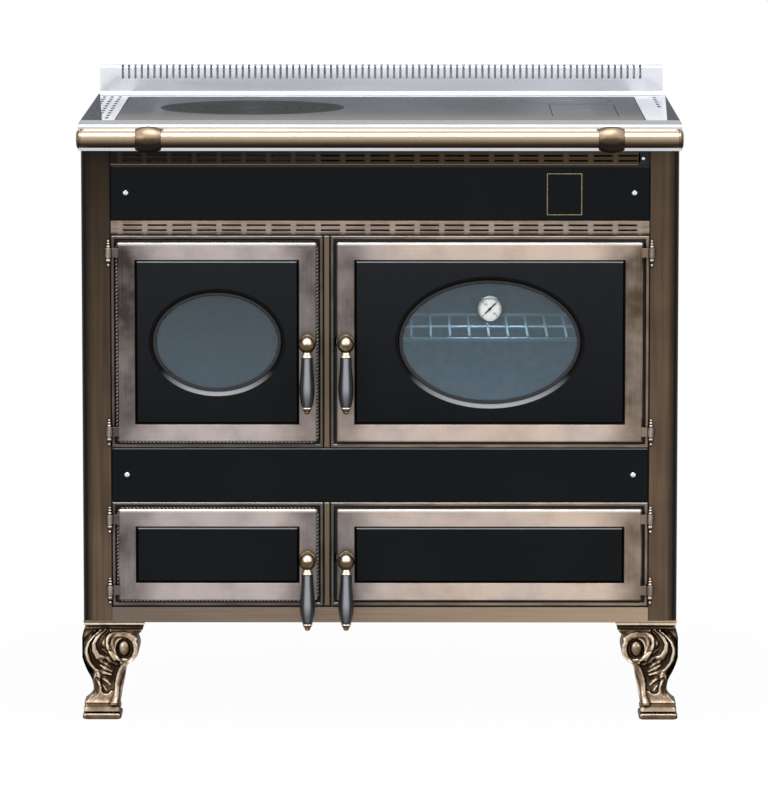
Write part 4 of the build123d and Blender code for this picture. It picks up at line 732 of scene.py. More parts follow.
# %% Hinge pins
# the finial from the knuckle's top up, and the ball and tip from its foot down
FINIAL = ((0, 12), (1.3, 11.7), (2.1, 10.7), (2.3, 9.6), (1.9, 8.6), (1.6, 8.0), (2.6, 7.3), (3.3, 6.4),
          (3.3, 5.5), (2.6, 4.7), (2.0, 4.2), (2.6, 3.4), (3.4, 2.8), (3.6, 1.4), (3.5, 0.2), (2.5, 0))
TIP = ((2.5, 0), (3.5, 0), (3.8, -0.9), (3.0, -1.6), (4.0, -2.6), (4.5, -4.2), (4.3, -5.8), (3.4, -7.3),
       (2.2, -8.4), (1.6, -9.3), (2.2, -10.4), (2.6, -11.8), (2.3, -13.6), (1.4, -15.3), (0, -16))
pins = []
for door, (x_limits, z_limits) in DOOR_BOXES.items():
    x = 406 if door in ("oven", "store") else -406
    for knuckle in (z_limits[1] - 22, z_limits[0] + 8):
        low, top = knuckle - 0.3, knuckle + 14.3
        pin = [(r, top + up) for r, up in FINIAL] + [(r, low + up) for r, up in TIP]
        pins.append(turned(pin, place(x, 6, 0), steps=24))
        pins.append(turned([(1.75, 0), (1.75, 6.0)], place(x, 6, low - 4.2), ALONG_Y, 16))
finish(joined(pins), "hinge_pins_turned", "stove", fitting_bronze, ["hinge_pins"], 60)
print("hinge pins:", len(pins) // 2)

# %% [markdown]
# ## Door handles
# Each handle is a brass ball on a neck from a round rose on the door's stile. A collar under the ball
# holds a turned grip that hangs down, and a small bell-shaped cap ends it. Metal and grip are separate
# pieces, because they are two materials that meet at a shoulder.

# %% Handles
# each handle's place, and how far its latch tongue reaches towards its door's free edge
HANDLES = (("firebox", -108.75, 575.5, 15), ("oven", -50.75, 575.5, -15), ("ash", -108.75, 248.0, 15),
           ("store", -50.75, 248.0, -15))
BALL_DEPTH = -26
UPRIGHT = (0, 0, 1)
# for each piece: its slot and finish, the node that it stands for, and its outlines with their axes
HANDLE_PIECES = {
    "collar": ("aged_brass", collar_brass, "metal", (
        ([(3.0, -11.2), (5.6, -11.2), (5.6, -12.0), (6.2, -13.4), (7.2, -15.6), (7.9, -17.2), (8.0, -18.5),
          (3.0, -18.5)], UPRIGHT),
        ([(3.0, -93.5), (6.8, -93.5), (7.4, -94.2), (7.3, -95.6), (6.0, -96.4), (3.0, -96.4)], UPRIGHT))),
    "rose": ("aged_brass", shade_bronze, "metal", (
        ([(6.5, 8.0), (6.0, 12.0), (5.8, 18.0), (6.4, 22.5), (8.0, 24.6), (10.5, 25.7), (12.5, 26.5),
          (13.0, 27.6), (13.0, 29.7), (4.0, 29.7)], ALONG_Y),)),
    "knob": ("aged_brass", knob_brass, "metal", (
        (ball_outline(12.5, 144, 9) + [(6.4, -11.2), (3.0, -11.2)], UPRIGHT),
        ([(3.0, -96.4), (6.6, -96.4), (6.2, -98.0), (5.0, -99.5), (4.2, -100.4), (4.5, -101.4),
          (3.9, -102.9), (2.0, -104.1), (0, -104.5)], UPRIGHT))),
    "grip_turned": ("grip_grey", grip_lacquer, "grip", (
        ([(3.0, -18.5), (7.6, -18.5), (8.3, -19.4), (8.5, -22.0), (8.7, -28.0), (9.1, -35.0), (9.8, -43.0),
          (10.6, -51.0), (11.2, -59.0), (11.5, -66.0), (11.3, -73.0), (10.6, -80.0), (9.4, -87.0),
          (8.2, -91.5), (7.5, -93.2), (6.6, -93.5), (3.0, -93.5)], UPRIGHT),)),
}
for door, x, z, _ in HANDLES:
    for name, (slot, material, node, outlines) in HANDLE_PIECES.items():
        bm = joined(turned(outline, place(x, BALL_DEPTH, z), axis) for outline, axis in outlines)
        finish(bm, f"{door}_handle_{name}", f"{door}_handle", material, [f"{door}_handle_{node}"], 50)
print("handles:", len(HANDLES))

# %% [markdown]
# The spindle and the latch tongue sit behind the door. They show only when it is open, so they are
# simple bars, one turned and one shaped from a box.

# %% Spindles and tongues
def bar(x, depth, z):
    """A box between three pairs of limits in millimetres, as a bmesh."""
    bm = bmesh.new()
    bmesh.ops.create_cube(bm, size=1.0)
    low, high = place(x[0], depth[0], z[0]), place(x[1], depth[1], z[1])
    bmesh.ops.scale(bm, vec=high - low, verts=bm.verts)
    bmesh.ops.translate(bm, vec=(low + high) / 2, verts=bm.verts)
    return bm


for door, x, z, reach in HANDLES:
    spindle = turned([(0, 24.0), (4.0, 24.0), (4.0, 50.9), (0, 50.9)], place(x, BALL_DEPTH, z), ALONG_Y, 32)
    tongue = bar(sorted((x, x + reach)), (21.9, 24.9), (z - 4, z + 4))
    bmesh.ops.bevel(tongue, geom=tongue.edges[:], offset=0.0006, segments=2, profile=0.5,
                    affect="EDGES", material=-1)
    finish(joined((spindle, tongue)), f"{door}_latch", f"{door}_handle", zinc_sheet,
           [f"{door}_handle_metal"])
print("latches:", len(HANDLES))

# %% [markdown]
# ## Screws
# Four domed chrome screws with a small socket hold the black covers.

# %% Screws
head = [(0, 1.4), (1.3, 1.4), (1.3, 2.8), (1.7, 2.9), (2.6, 2.5), (3.6, 1.8), (4.3, 1.0), (4.7, 0.4),
        (4.8, 0.0)]
screws = joined(turned(head, place(x, 13, z), (0, -1, 0), 32) for x in (-380, 380) for z in (799.25, 374.25))
finish(screws, "cover_screws", "stove", chrome, ["band_screws"], 40)
print("screws: 4")

# %% [markdown]
# ## Sealing rope
# A braided glass rope lies in a step round the back of the fire and ash doors, and its beads show in the
# gap beside the stiles. It is really three strands twisted together, so each strand is a thin tube on a
# helix that follows the door's outline. A curve with a bevel makes the tubes, because a curve carries a
# section along a path without any twisting of its own.

# %% Path along the door's edge
def rope_path(x_limits, z_limits, corner, step):
    """Evenly spaced points and outward directions round a rounded rectangle, in millimetres."""
    (x0, x1), (z0, z1) = x_limits, z_limits
    sides = [((x0 + corner, z0), (x1 - corner, z0), (x1 - corner, z0 + corner), -90),
             ((x1, z0 + corner), (x1, z1 - corner), (x1 - corner, z1 - corner), 0),
             ((x1 - corner, z1), (x0 + corner, z1), (x0 + corner, z1 - corner), 90),
             ((x0, z1 - corner), (x0, z0 + corner), (x0 + corner, z0 + corner), 180)]
    bend = int(corner * math.pi / 2 / step) + 1
    path = []
    for (ax, az), (bx, bz), (cx, cz), turn in sides:
        out = Vector((math.cos(math.radians(turn)), 0, math.sin(math.radians(turn))))
        run = int(math.hypot(bx - ax, bz - az) / step)
        path += [(ax + (bx - ax) * (i / run), az + (bz - az) * (i / run), out) for i in range(run)]
        for i in range(bend):
            angle = math.radians(turn + 90 * i / bend)
            out = Vector((math.cos(angle), 0, math.sin(angle)))
            path.append((cx + corner * out.x, cz + corner * out.z, out))
    return path


# %% Twisted rope
# depth of the rope, distance between points, length of one twist, and how far a strand lies off the middle
ROPE_DEPTH, ROPE_STEP, TWIST, OFF = 13.7, 0.9, 16.5, 2.0
for door in ("firebox", "ash"):
    path = rope_path(*DOOR_BOXES[door], 8, ROPE_STEP)
    turns = round(len(path) * ROPE_STEP / TWIST)
    strands = [[], [], []]
    for number, strand in enumerate(strands):
        for i, (x, z, out) in enumerate(path):
            angle = math.tau * (turns * i / len(path) + number / 3)
            spot = place(x, ROPE_DEPTH, z) + out * (OFF * MM * math.cos(angle))
            spot.y += OFF * MM * math.sin(angle)
            strand.append(spot)
    rope = finish(tubes(strands, 1.95, 1), f"{door}_rope_braid", f"{door}_door", sealing_rope,
                  [f"{door}_rope_seal"], 80)
    # each corner of the mesh carries its distance from the rope's middle, which the finish reads
    tree = KDTree(len(path))
    for i, (x, z, out) in enumerate(path):
        tree.insert(place(x, ROPE_DEPTH, z), i)
    tree.balance()
    weave = rope.data.attributes.new("from_middle", "FLOAT", "POINT")
    for vert in rope.data.vertices:
        weave.data[vert.index].value = tree.find(vert.co)[2]
    print(rope.name, "faces:", len(rope.data.polygons))

# %% [markdown]
# ## Oven thermometer
# A steel case with a brushed rim, a white dial with plain marks every ten degrees and numbers every
# hundred, and a black pointer. The marks are thin raised ink, so they stay sharp at any distance.

# %% Thermometer case
DIAL_Z, FACE_RADIUS, TO_FRONT = 625.5, 17.0, (0, -1, 0)
dial_at = place(OVEN_X, 12.7, DIAL_Z)
case = [(0, -60), (2.5, -60), (3.2, -58.5), (3.6, -40), (4.0, -40), (4.0, 0), (18.9, 0), (19.5, 0.8),
        (19.5, 5.0), (19.2, 6.2), (18.4, 6.9), (17.5, 7.0), (FACE_RADIUS, 6.5), (FACE_RADIUS, 3.52)]
dial = [(FACE_RADIUS, 3.52), (0.96, 3.52), (0.96, 1.6)]
for name, outline, material in (("bezel", case, bezel_steel), ("dial", dial, dial_white)):
    finish(turned(outline, dial_at, TO_FRONT, 64), f"thermometer_{name}", "oven_door", material,
           ["thermometer_case"], 40)
print("dial radius in mm:", FACE_RADIUS)

# %% Dial marks and numbers
ink = []
for step in range(31):
    length, half = (3.6, 0.5) if step % 10 == 0 else ((2.6, 0.36) if step % 5 == 0 else (1.4, 0.22))
    mark = bar((16.2 - length, 16.2), (8.96, 9.16), (-half, half))
    move(mark, (0, -HOB_FACE_Y, 0))
    move(mark, place(OVEN_X, 0, DIAL_Z), -math.radians(225 - 9 * step), "Y")
    ink.append(mark)
for number, degrees in (("0", 225), ("100", 135), ("200", 45), ("300", -45)):
    text = bpy.data.curves.new("number", "FONT")
    text.body = number
    text.size = 4.2 * MM
    text.extrude = 0.08 * MM
    text.align_x, text.align_y = "CENTER", "CENTER"
    figure = meshed(text)
    angle = math.radians(degrees)
    move(figure, place(OVEN_X + 9.6 * math.cos(angle), 9.06, DIAL_Z + 9.6 * math.sin(angle)), math.pi / 2, "X")
    ink.append(figure)
finish(joined(ink), "thermometer_marks", "oven_door", dial_ink, ["thermometer_case"])
print("marks and numbers:", len(ink))

# %% Pointer
def raise_faces(bm, rise):
    """Gives a flat mesh a thickness."""
    top = bmesh.ops.extrude_face_region(bm, geom=bm.faces[:])
    bmesh.ops.translate(bm, vec=rise, verts=[v for v in top["geom"] if isinstance(v, bmesh.types.BMVert)])


hub = turned([(0, 1.4), (1.4, 1.4), (2.2, 0.9), (2.2, 0.0), (0.9, 0.0), (0.9, -1.8), (0, -1.8)],
             place(OVEN_X, 8.9, DIAL_Z), TO_FRONT, 24)
blade = bmesh.new()
corners = ((-1.3, 0), (-0.8, -9.5), (0.8, -9.5), (1.3, 0), (0.5, 13.0), (-0.5, 13.0))
blade.faces.new([blade.verts.new((x * MM, 0, z * MM)) for x, z in corners])
raise_faces(blade, (0, -0.5 * MM, 0))
move(blade, place(OVEN_X, 8.7, DIAL_Z), math.radians(45), "Y")
finish(joined((hub, blade)), "thermometer_pointer", "thermometer_needle", dial_ink,
       ["thermometer_needle"])
print("pointer length in mm:", 13)

# %% [markdown]
# ## Gold rectangle
# The upper cover carries a thin gold line in the shape of an upright rectangle. It is inlaid, so it
# stands only a few hundredths of a millimetre proud: an inset face whose middle is deleted.

# %% Gold line
def raised_line(corners, half_x, half_y, width, rise):
    """A raised line round a rectangle (four corners) or a disc that lies flat at the origin."""
    bm = bmesh.new()
    if corners == 4:
        bmesh.ops.create_grid(bm, x_segments=1, y_segments=1, size=1)
    else:
        bmesh.ops.create_circle(bm, cap_ends=True, radius=1, segments=corners)
    bmesh.ops.scale(bm, vec=(half_x * MM, half_y * MM, 1), verts=bm.verts)
    middle = bm.faces[:]
    bmesh.ops.inset_region(bm, faces=middle, thickness=width * MM, use_boundary=True, use_even_offset=True)
    bmesh.ops.delete(bm, geom=middle, context="FACES")
    raise_faces(bm, (0, 0, rise * MM))
    return bm


gold_line = raised_line(4, 26.25, 31.25, 1.1, 0.08)
move(gold_line, place(275.5, 12.99, 797.5), math.pi / 2, "X")
finish(gold_line, "cover_gold_line", "stove", gold_inlay)
print("gold rectangle in mm:", (52.5, 62.5))

# %% [markdown]
# ## Hob vents
# Warm air from the casing leaves through short slots stamped in the hob's two side strips: three rows on
# the left, one short row on the right. Each slot is painted shade: a flat dark disc with rounded ends that reads
# as a hole.

# %% Stamped slots
# each slot below is painted shade, a flat dark disc that stands for the hole
slot_places = [(-437 + row * 12, 120 + 46 * i) for row in range(3) for i in range(10)]
slot_places += [(430, 340 + 46 * i) for i in range(5)]
slots = []
for x, depth in slot_places:
    slot = bmesh.new()
    bmesh.ops.create_circle(slot, cap_ends=True, radius=2.9 * MM, segments=12)
    for vert in slot.verts:
        vert.co.y += math.copysign(9.0 * MM, vert.co.y)
    move(slot, place(x, depth, 903.55))
    slots.append(slot)
finish(joined(slots), "hob_vent_slots", "stove", stove_paint)
print("stamped slots:", len(slot_places))

# %% [markdown]
# ## Joints of the hob
# Soot and grease bake on in the joints between the plate, the rings and the lids, so each is edged by a
# thin dark line. The line stays on the piece that carries the lid or the smaller ring when that is
# lifted. Each is a rectangle or a disc, inset by the line's width, with its middle deleted.

# %% Joint lines
# piece, body, corners, middle and half size
JOINTS = (("plate_edge", "stove", 4, (0, 307.5), (399.0, 232.5)),
          ("access_lid_edge", "stove", 4, (311, 266), (50.8, 115.8)),
          ("flue_lid_edge", "stove", 72, (290, 465), (71.4, 71.4)),
          ("ring_seat_edge", "stove", 96, (-198, 321), (141.9, 141.9)),
          ("ring_1_edge", "ring_1", 96, (-198, 321), (118.9, 118.9)),
          ("ring_2_edge", "ring_2", 96, (-198, 321), (97.4, 97.4)),
          ("ring_3_edge", "ring_3", 72, (-198, 321), (75.7, 75.7)),
          ("ring_4_edge", "ring_4", 72, (-198, 321), (54.9, 54.9)))
for name, body, corners, (x, depth), half_size in JOINTS:
    line = raised_line(corners, *half_size, 1.5, 0.06)
    move(line, place(x, depth, 903.48))
    finish(line, f"hob_{name}_soot", body, baked_soot)
print("joint lines:", len(JOINTS))

# %% [markdown]
# ## Wire ends of the oven shelf
# The shelf is welded from straight bright wires. Nine of them run from back to front, pass over the front
# wire and end just behind the glass, where each rounded end shows as a small bright point.

# %% Wire ends
end = ball_outline(2.0, 90, 15) + [(2.0, -6.0), (0.0, -6.0)]
wire_ends = joined(turned(end, place(OVEN_X + i * 29.4, 58.5, 579.0), TO_FRONT, 16) for i in range(-4, 5))
finish(wire_ends, "oven_shelf_wire_ends", body_of["oven_rack"], nickel_wire, (), 50)
print("wire ends: 9")

# %% [markdown]
# ## Scroll feet
# The front feet are cast in sand from a carved pattern: a knee with an acanthus leaf, a rolled volute
# with a round eye, a slim ankle and a stepped base. The pattern's maker cuts hollows with a gouge and
# leaves ridges standing, and the same is done here. The foot's plain form is given an even skin by a
# voxel remesh, then each stroke below presses a hollow in or leaves a rounded ridge. A stroke is a line of
# points to the right of and above the volute's centre, each with the stroke's half width, all in
# millimetres.

# %% Strokes of the carving
VOLUTE_AT = (-382.0, 111.0)
HOLLOWS = [
    [(-32.5, 26.2, 6.3), (-42.6, 14.9, 11.3), (-45.1, -1.5, 14.1), (-40.1, -16.6, 15.4), (-32.5, -29.2, 14.5),
     (-28.7, -41.8, 12.3), (-31.2, -54.4, 10.1), (-32.5, -65.8, 6.9)],
    [(-14.9, -24.2, 4.4), (-16.1, -31.8, 5.3), (-16.1, -41.8, 5.3), (-19.9, -51.9, 4.5), (-23.7, -64.5, 3.8)],
]
LEAF = [
    [(-31.2, 26.0, 1.6), (-39.4, 20.5, 2.8), (-45.7, 13.6, 3.8), (-50.1, 4.8, 4.1), (-48.9, -5.3, 5.1),
     (-43.2, -15.4, 5.9), (-36.3, -16.6, 4.3), (-32.5, -15.4, 1.6)],
    [(-43.2, -15.4, 4.6), (-38.2, -23.6, 3.4), (-36.0, -27.3, 1.1)],
    [(-12.3, 23.1, 1.3), (-21.2, 20.9, 3.0), (-29.4, 14.9, 5.1), (-32.8, 6.0, 6.1), (-29.4, -1.3, 5.9),
     (-23.7, -3.0, 2.2)],
    [(-36.3, -4.0, 1.6), (-30.0, -6.6, 4.6), (-23.7, -11.0, 6.1), (-17.4, -17.3, 6.7), (-11.1, -23.2, 4.3),
     (-6.0, -24.8, 1.6)],
    [(-31.2, -16.6, 2.2), (-24.9, -21.7, 4.9), (-16.1, -27.0, 3.4), (-11.1, -28.2, 1.2)],
    [(-36.3, -23.9, 1.2), (-31.2, -28.0, 3.4), (-25.6, -32.8, 1.2)],
    [(-40.7, -29.2, 1.2), (-33.8, -34.5, 4.1), (-23.7, -39.3, 1.7)],
    [(-45.7, -35.5, 1.2), (-36.3, -41.8, 4.1), (-24.9, -44.6, 1.8)],
    [(-45.1, -41.8, 1.2), (-38.8, -45.9, 2.4), (-33.1, -48.8, 1.0)],
    [(-45.7, -45.4, 1.1), (-36.3, -51.9, 2.6), (-28.5, -58.5, 1.0)],
    [(-46.6, -51.9, 1.1), (-41.6, -59.5, 2.3), (-38.1, -67.3, 1.0)],
    [(-42.6, -54.4, 1.1), (-36.3, -62.0, 2.4), (-31.8, -69.0, 1.0)],
    [(-36.3, -49.4, 1.1), (-31.2, -54.4, 2.0), (-26.0, -61.0, 1.0)],
]
BANDS = [
    [(-39.4, 26.0, 1.5), (-49.5, 17.4, 1.6), (-56.7, 7.9, 1.6), (-60.2, -2.1, 1.6), (-60.7, -10.3, 1.6),
     (-58.3, -20.4, 1.6), (-53.7, -29.2, 1.5), (-48.3, -36.2, 1.4), (-43.2, -41.0, 1.1)],
    [(-21.2, 11.1, 3.0), (-19.9, 16.1, 3.8), (-14.9, 19.3, 4.7), (-6.0, 20.2, 5.3), (4.0, 18.0, 5.8),
     (11.6, 12.3, 5.9), (14.7, 3.5, 5.8), (14.7, -6.6, 5.8), (11.6, -16.6, 5.8), (4.7, -24.2, 5.9),
     (-3.5, -29.2, 5.8), (-7.9, -35.5, 5.5), (-11.1, -43.1, 5.3), (-13.6, -50.7, 5.0), (-15.5, -59.5, 4.7),
     (-15.9, -68.3, 4.5), (-16.6, -75.9, 5.0), (-18.6, -83.4, 6.3), (-19.9, -88.2, 6.6)],
    [(-21.8, 12.3, 3.0), (-22.7, 3.5, 3.3), (-19.9, -5.3, 3.3), (-13.9, -13.1, 3.0), (-9.2, -17.3, 2.0)],
    [(-58.3, -85.3, 1.0), (-50.1, -79.0, 1.3), (-45.1, -76.1, 1.3), (-40.8, -70.6, 1.0)],
    [(-56.4, -79.6, 1.0), (-50.1, -73.3, 1.1), (-44.9, -69.8, 0.8)],
]
# height above the floor in millimetres, and how far the turned mouldings are cut in there
MOULDING_CUTS = (
    (0.0, 2.6), (0.7, 1.0), (2.2, 0.2), (5.0, 0.0), (8.0, 0.5), (9.4, 2.0), (10.2, 4.6), (11.0, 1.4),
    (12.4, 0.2), (15.5, 0.0), (19.0, 0.2), (21.0, 1.2), (22.6, 2.4), (24.5, 1.4), (27.0, 0.2), (29.0, 0.0),
    (138.4, 0.0), (139.3, 5.6), (142.3, 5.8), (144.0, 4.6), (144.9, 1.4), (146.0, 0.2), (147.4, 0.0),
    (149.0, 0.4), (150.0, 1.6)
)
print("strokes:", len(HOLLOWS) + len(LEAF) + len(BANDS))

# %% Even skin
holder = new_object("core", new_mesh("core", merged_copy("front_foot_left")))
remesh = holder.modifiers.new("even skin", "REMESH")
remesh.mode = "VOXEL"
remesh.voxel_size = 1.0 * MM
bpy.context.view_layer.update()
skin = bpy.data.meshes.new_from_object(holder.evaluated_get(bpy.context.evaluated_depsgraph_get()))
bpy.data.objects.remove(holder)
print("points of the even skin:", len(skin.vertices))

# %% Distance to a stroke
def share_of(points, stroke):
    """How far each point lies from a stroke, as a share of its half width, and that half width."""
    share, width = np.full(len(points), 99.0), np.ones(len(points))
    for start, end in zip(stroke, stroke[1:]):
        begin, run = np.array(start[:2]), np.array(end[:2]) - np.array(start[:2])
        along = np.clip((points - begin) @ run / (run @ run), 0, 1)
        half = start[2] + (end[2] - start[2]) * along
        off = np.linalg.norm(points - begin - along[:, None] * run, axis=1) / half
        width = np.where(off < share, half, width)
        share = np.minimum(share, off)
    return share, width


def ramp(values, low, high):
    """Values as a smooth step from 0 at low to 1 at high."""
    step = np.clip((values - low) / (high - low), 0, 1)
    return step * step * (3 - 2 * step)


def dome(share):
    """The height of a half circle at a share of its radius, from 1 to 0."""
    return np.sqrt(np.clip(1 - share ** 2, 0, 1))


def read(mesh, what):
    """An array of a mesh's points or normals."""
    values = np.empty(len(mesh.vertices) * 3)
    mesh.vertices.foreach_get(what, values)
    return values.reshape(-1, 3)


# %% Carve the foot
spots, front = read(skin, "co") / MM, -read(skin, "normal")[:, 1]
count = len(spots)
x, y, z = spots.T
# the knee hangs lower and the roll sits further in than on the plain form
x += ramp(x, -412.0, -424.0) * np.interp(z, (26, 41, 53, 71, 96, 104, 116, 139),
                                         (-0.8, -0.2, -3.1, -5.2, -3.6, -2.2, -0.3, 0.0))
roll = ramp(x, -392.0, -372.0) * ramp(z, 84.0, 98.0) * ramp(z, 138.0, 132.0)
x -= 4.8 * roll
z -= 2.0 * roll
flat = spots[:, (0, 2)] - VOLUTE_AT
right, up = flat.T

sunk, leaf, band = np.zeros(count), np.zeros(count), np.full(count, -9.0)
for stroke in HOLLOWS:
    sunk = np.maximum(sunk, ramp(share_of(flat, stroke)[0], 1.12, 0.82))
for stroke in LEAF:
    share, width = share_of(flat, stroke)
    leaf = np.maximum(leaf, dome(share) * (1.2 + 0.75 * width) * (share < 1))
for stroke in BANDS:
    share, width = share_of(flat, stroke)
    band = np.maximum(band, np.where(share < 1, dome(share) * (0.5 + 0.8 * width) - 1.0, -9.0))
relief = np.maximum(-5.0 * sunk + leaf, band)

# the leg's outer side turns away from the rim
rim_height = (-74.0, -67.0, -54.4, -41.0, -36.2, -29.2, -20.4, -10.3, -2.1, 7.9, 17.4, 26.0)
rim_across = (-46.0, -48.9, -50.0, -46.0, -48.3, -53.7, -58.3, -60.7, -60.2, -56.7, -49.5, -39.4)
beyond = np.interp(up, rim_height, rim_across) - 1.4 - right
turned_away = ramp(beyond, 0.0, 1.5) * ramp(up, -76.0, -66.0)
relief = np.where(turned_away > 0, np.minimum(relief, 0) - np.clip(beyond, 0, 9) * 1.3 * turned_away, relief)
y -= relief * (ramp(front, 0.15, 0.55) * ramp(z, 18.5, 24) * ramp(z, 139.5, 136.0))

# the volute's hollow, with the eye as a dome in it
FACE_Y = HOB_FACE_Y / MM
pit = np.hypot((right + 3.6) / 12.6, (up + 2.2) / 15.4)
eye = np.hypot((right + 4.4) / 9.2, (up + 2.0) / 12.4)
in_pit = (pit < 1.0) & (y < FACE_Y + 40) & (front > -0.2)
y[:] = np.where(in_pit, (FACE_Y + 22.5) - 7.5 * dome(eye), y)
print("carved points:", count)

# %% Turn the mouldings
# the base and the pad under the body: heights, middle, and half size
cut = np.interp(z, *zip(*MOULDING_CUTS))
for low, high, across, depth, half_across, half_depth in ((0, 18.9, -420.0, 47.0, 29.0, 29.0),
                                                          (139.1, 151, -401.0, 57.0, 46.0, 43.0)):
    here = (z >= low - 1) & (z <= high)
    x[:] = np.where(here, across + (x - across) * (1 - cut / half_across), x)
    y[:] = np.where(here, FACE_Y + depth + (y - (FACE_Y + depth)) * (1 - cut / half_depth), y)
# nothing stands out past the hob's ends
x[:] = np.maximum(x, -449.5)
skin.vertices.foreach_set("co", (spots * MM).ravel())
skin.update()
print("widest in mm:", round(float(-x.min()), 1))

# %% Rub the high spots and paint the light and shade
def relax(bm, times, factor):
    """Evens a mesh out."""
    for _ in range(times):
        bmesh.ops.smooth_vert(bm, verts=bm.verts, factor=factor, use_axis_x=True, use_axis_y=True,
                              use_axis_z=True)


bm = bmesh.new()
bm.from_mesh(skin)
relax(bm, 2, 0.35)
bm.normal_update()
sharp_spots = [vert.co.copy() for vert in bm.verts]
directions = [vert.normal.copy() for vert in bm.verts]
relax(bm, 14, 0.5)
# a cloth rubs what stands out from its surroundings and misses the hollows; the turned-away side is made a little
# paler
stands_out = np.array([(before - vert.co).dot(way) for before, vert, way
                       in zip(sharp_spots, bm.verts, directions)]) / MM
dirt_and_shade = -0.20 * turned_away + 0.28 * sunk * (leaf < 0.8) * (band < -2)
# painted shade on the ankle's outer side
dirt_and_shade += 0.45 * ramp(right, -42.0, -45.0) * ramp(up, -46.0, -51.0) * ramp(up, -75.0, -71.0)
dirt_and_shade = np.where(in_pit & (eye > 1.0), 0.6, dirt_and_shade)
heights = np.array([before.z for before in sharp_spots]) / MM
# painted shade on the lower tier below its top edge, and a painted highlight over the upper tier's round
dirt_and_shade += 0.30 * ramp(heights, 7.4, 6.2) - 0.12 * ramp(heights, 11.0, 13.0) * ramp(heights, 18.0, 16.0)
# painted shadow under the body's plate
dirt_and_shade += 0.42 * ramp(heights, 128.0, 135.0) * ramp(heights, 144.6, 143.8)
rubbed = np.clip(0.36 + 0.62 * stands_out - dirt_and_shade, 0, 1)
layer = bm.verts.layers.float.new("rubbed")
for vert, before, value in zip(bm.verts, sharp_spots, rubbed):
    vert.co = before
    vert[layer] = float(value)
carved = new_mesh("carved foot", bm)
print("rubbed share of the foot:", round(float((rubbed > 0.5).mean()), 2))

# %% Cast bronze of the feet
f = Finish("cast_bronze_rubbed_feet", Metallic=0.9, Roughness=0.33, Specular_Tint=(0.4, 0.38, 0.35, 1))
# stains about 11 mm across, and painted light that comes from above, in front and outside
stained = f.calc("ADD", f.attribute("rubbed"), f.shift(f.noise(90.0, 4.0), 0.12))
reach = f.span(f.cloth(-0.35, -0.78, 0.52), 0.1, 0.97, -0.34, 0.24)
level = f.calc("ADD", stained, reach, clamp=True)
brown = f.mix(f.span(level, 0.04, 0.5), "#2c2118", "#7a644f")
foot_bronze = f.skin(f.mix(f.span(level, 0.5, 1.0), brown, "#eadac3"), f.noise(650.0, 3.0), 0.12, 0.0004)

# %% Place both feet
for node, mirror in (("front_foot_left", 1), ("front_foot_right", -1)):
    bm = bmesh.new()
    bm.from_mesh(carved)
    bmesh.ops.scale(bm, vec=(mirror, 1, 1), verts=bm.verts)
    piece = finish(bm, f"{node}_carved", "stove", foot_bronze, [node], 75)
    print(piece.name, "faces:", len(piece.data.polygons))

# %% [markdown]
# ## Studio
# The photograph is a catalogue picture: white all round, soft light from above and in front. The floor
# fades into white little more than a metre out, by its colour and by Light Path, so there is no horizon.
# The lamps stay at a plain level, and a small fourth one lights the oven's inside.

# %% Floor
def seen_by_eye(tree):
    """1 for camera, glossy and transmission rays, and 0 for rays that only carry light."""
    path = add(tree, "LightPath", {}).outputs
    seen = add(tree, "Math", {0: path["Is Camera Ray"], 1: path["Is Glossy Ray"]}, operation="MAXIMUM")
    return add(tree, "Math", {0: seen.outputs[0], 1: path["Is Transmission Ray"]}, operation="MAXIMUM").outputs[0]


bm = bmesh.new()
bmesh.ops.create_circle(bm, cap_ends=True, radius=6.0, segments=96)
floor = new_object("floor", new_mesh("floor", bm))
f = Finish("studio_floor_white_paint", Roughness=0.9, Specular_IOR_Level=0.1)
# rolled paint with patches about 17 mm across
floor_white = f.skin(f.mix(f.noise(60.0, 2.0), "#f4f4f4", "#fafafa"))
fade = f.span(f.vector("LENGTH", f.place, output="Value"), 0.50, 1.3, 0.965, 1.0, "SMOOTHSTEP")
white = add(f.tree, "Emission", {"Color": (1, 1, 1, 1), "Strength": 1.0})
amount = f.calc("MULTIPLY", seen_by_eye(f.tree), fade)
blend = add(f.tree, "MixShader", {0: amount, 1: f.shader.outputs[0], 2: white.outputs[0]})
wire(f.tree, f.tree.nodes["Material Output"], {"Surface": blend.outputs[0]})
floor.data.materials.append(floor_white)

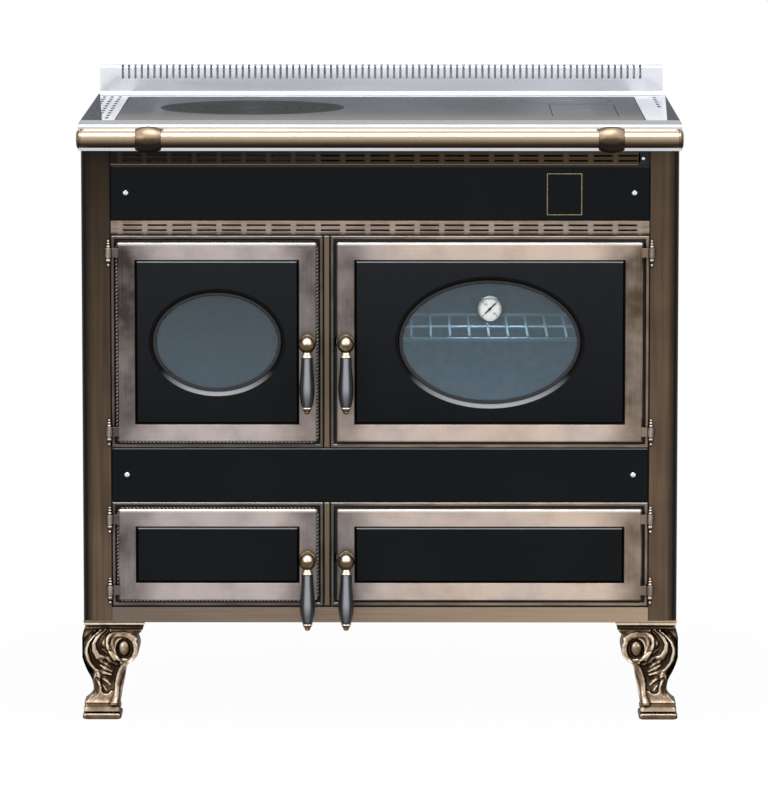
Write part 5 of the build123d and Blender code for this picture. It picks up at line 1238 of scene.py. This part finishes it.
# %% World
world = bpy.data.worlds.new("studio")
bpy.context.scene.world = world
world.use_nodes = True
room = world.node_tree.nodes["Background"]
wire(world.node_tree, room, {"Color": (1, 1, 1, 1), "Strength": 0.5})
white = add(world.node_tree, "Background", {"Color": (1, 1, 1, 1), "Strength": 1.0})
seen = seen_by_eye(world.node_tree)
blend = add(world.node_tree, "MixShader", {0: seen, 1: room.outputs[0], 2: white.outputs[0]})
wire(world.node_tree, world.node_tree.nodes["World Output"], {"Surface": blend.outputs[0]})
print("world strength:", room.inputs["Strength"].default_value)

# %% Lamps
def soft_lamp(name, spot, target, size, power):
    """A square area lamp that faces a point."""
    light = bpy.data.lights.new(name, "AREA")
    light.size = size
    light.energy = power
    lamp = new_object(name, light)
    lamp.location = spot
    lamp.rotation_euler = (Vector(target) - Vector(spot)).to_track_quat("-Z", "Y").to_euler()


soft_lamp("overhead", (0.0, -1.0, 3.2), (0.0, -0.1, 0.5), 1.8, 45)
soft_lamp("front_left", (-2.6, -3.4, 2.0), (0.0, 0.0, 0.5), 1.6, 38)
soft_lamp("front_right", (2.8, -3.0, 1.7), (0.0, 0.0, 0.5), 1.6, 24)
# a small lamp inside the oven's mouth, which brings out the shelf behind the glass
soft_lamp("oven_mouth", place(OVEN_X, 150, 695), place(OVEN_X, 120, 577), 0.12, 0.9)
print("lamps: 4")

# %% [markdown]
# ## Camera
# The photograph was taken from about nine metres with a long lens, a little above the hob. Place, tilt
# and focal length come from a least-squares fit of known corners of the model to the picture.

# %% Camera
camera_data = bpy.data.cameras.new("camera")
camera_data.sensor_width = 36
camera_data.lens = 265.5
camera_data.clip_end = 100
camera = new_object("camera", camera_data)
camera.location = (0.0364, -8.9341, 1.5971)
turn, tilt = math.radians(-0.201), math.radians(7.24)
look = Vector((math.sin(turn) * math.cos(tilt), math.cos(turn) * math.cos(tilt), -math.sin(tilt)))
camera.rotation_euler = look.to_track_quat("-Z", "Y").to_euler()
bpy.context.scene.camera = camera
bpy.context.scene.view_settings.view_transform = "Standard"
print("camera distance in metres:", round(camera.location.length, 2))

# %% Update the scene
bpy.context.view_layer.update()
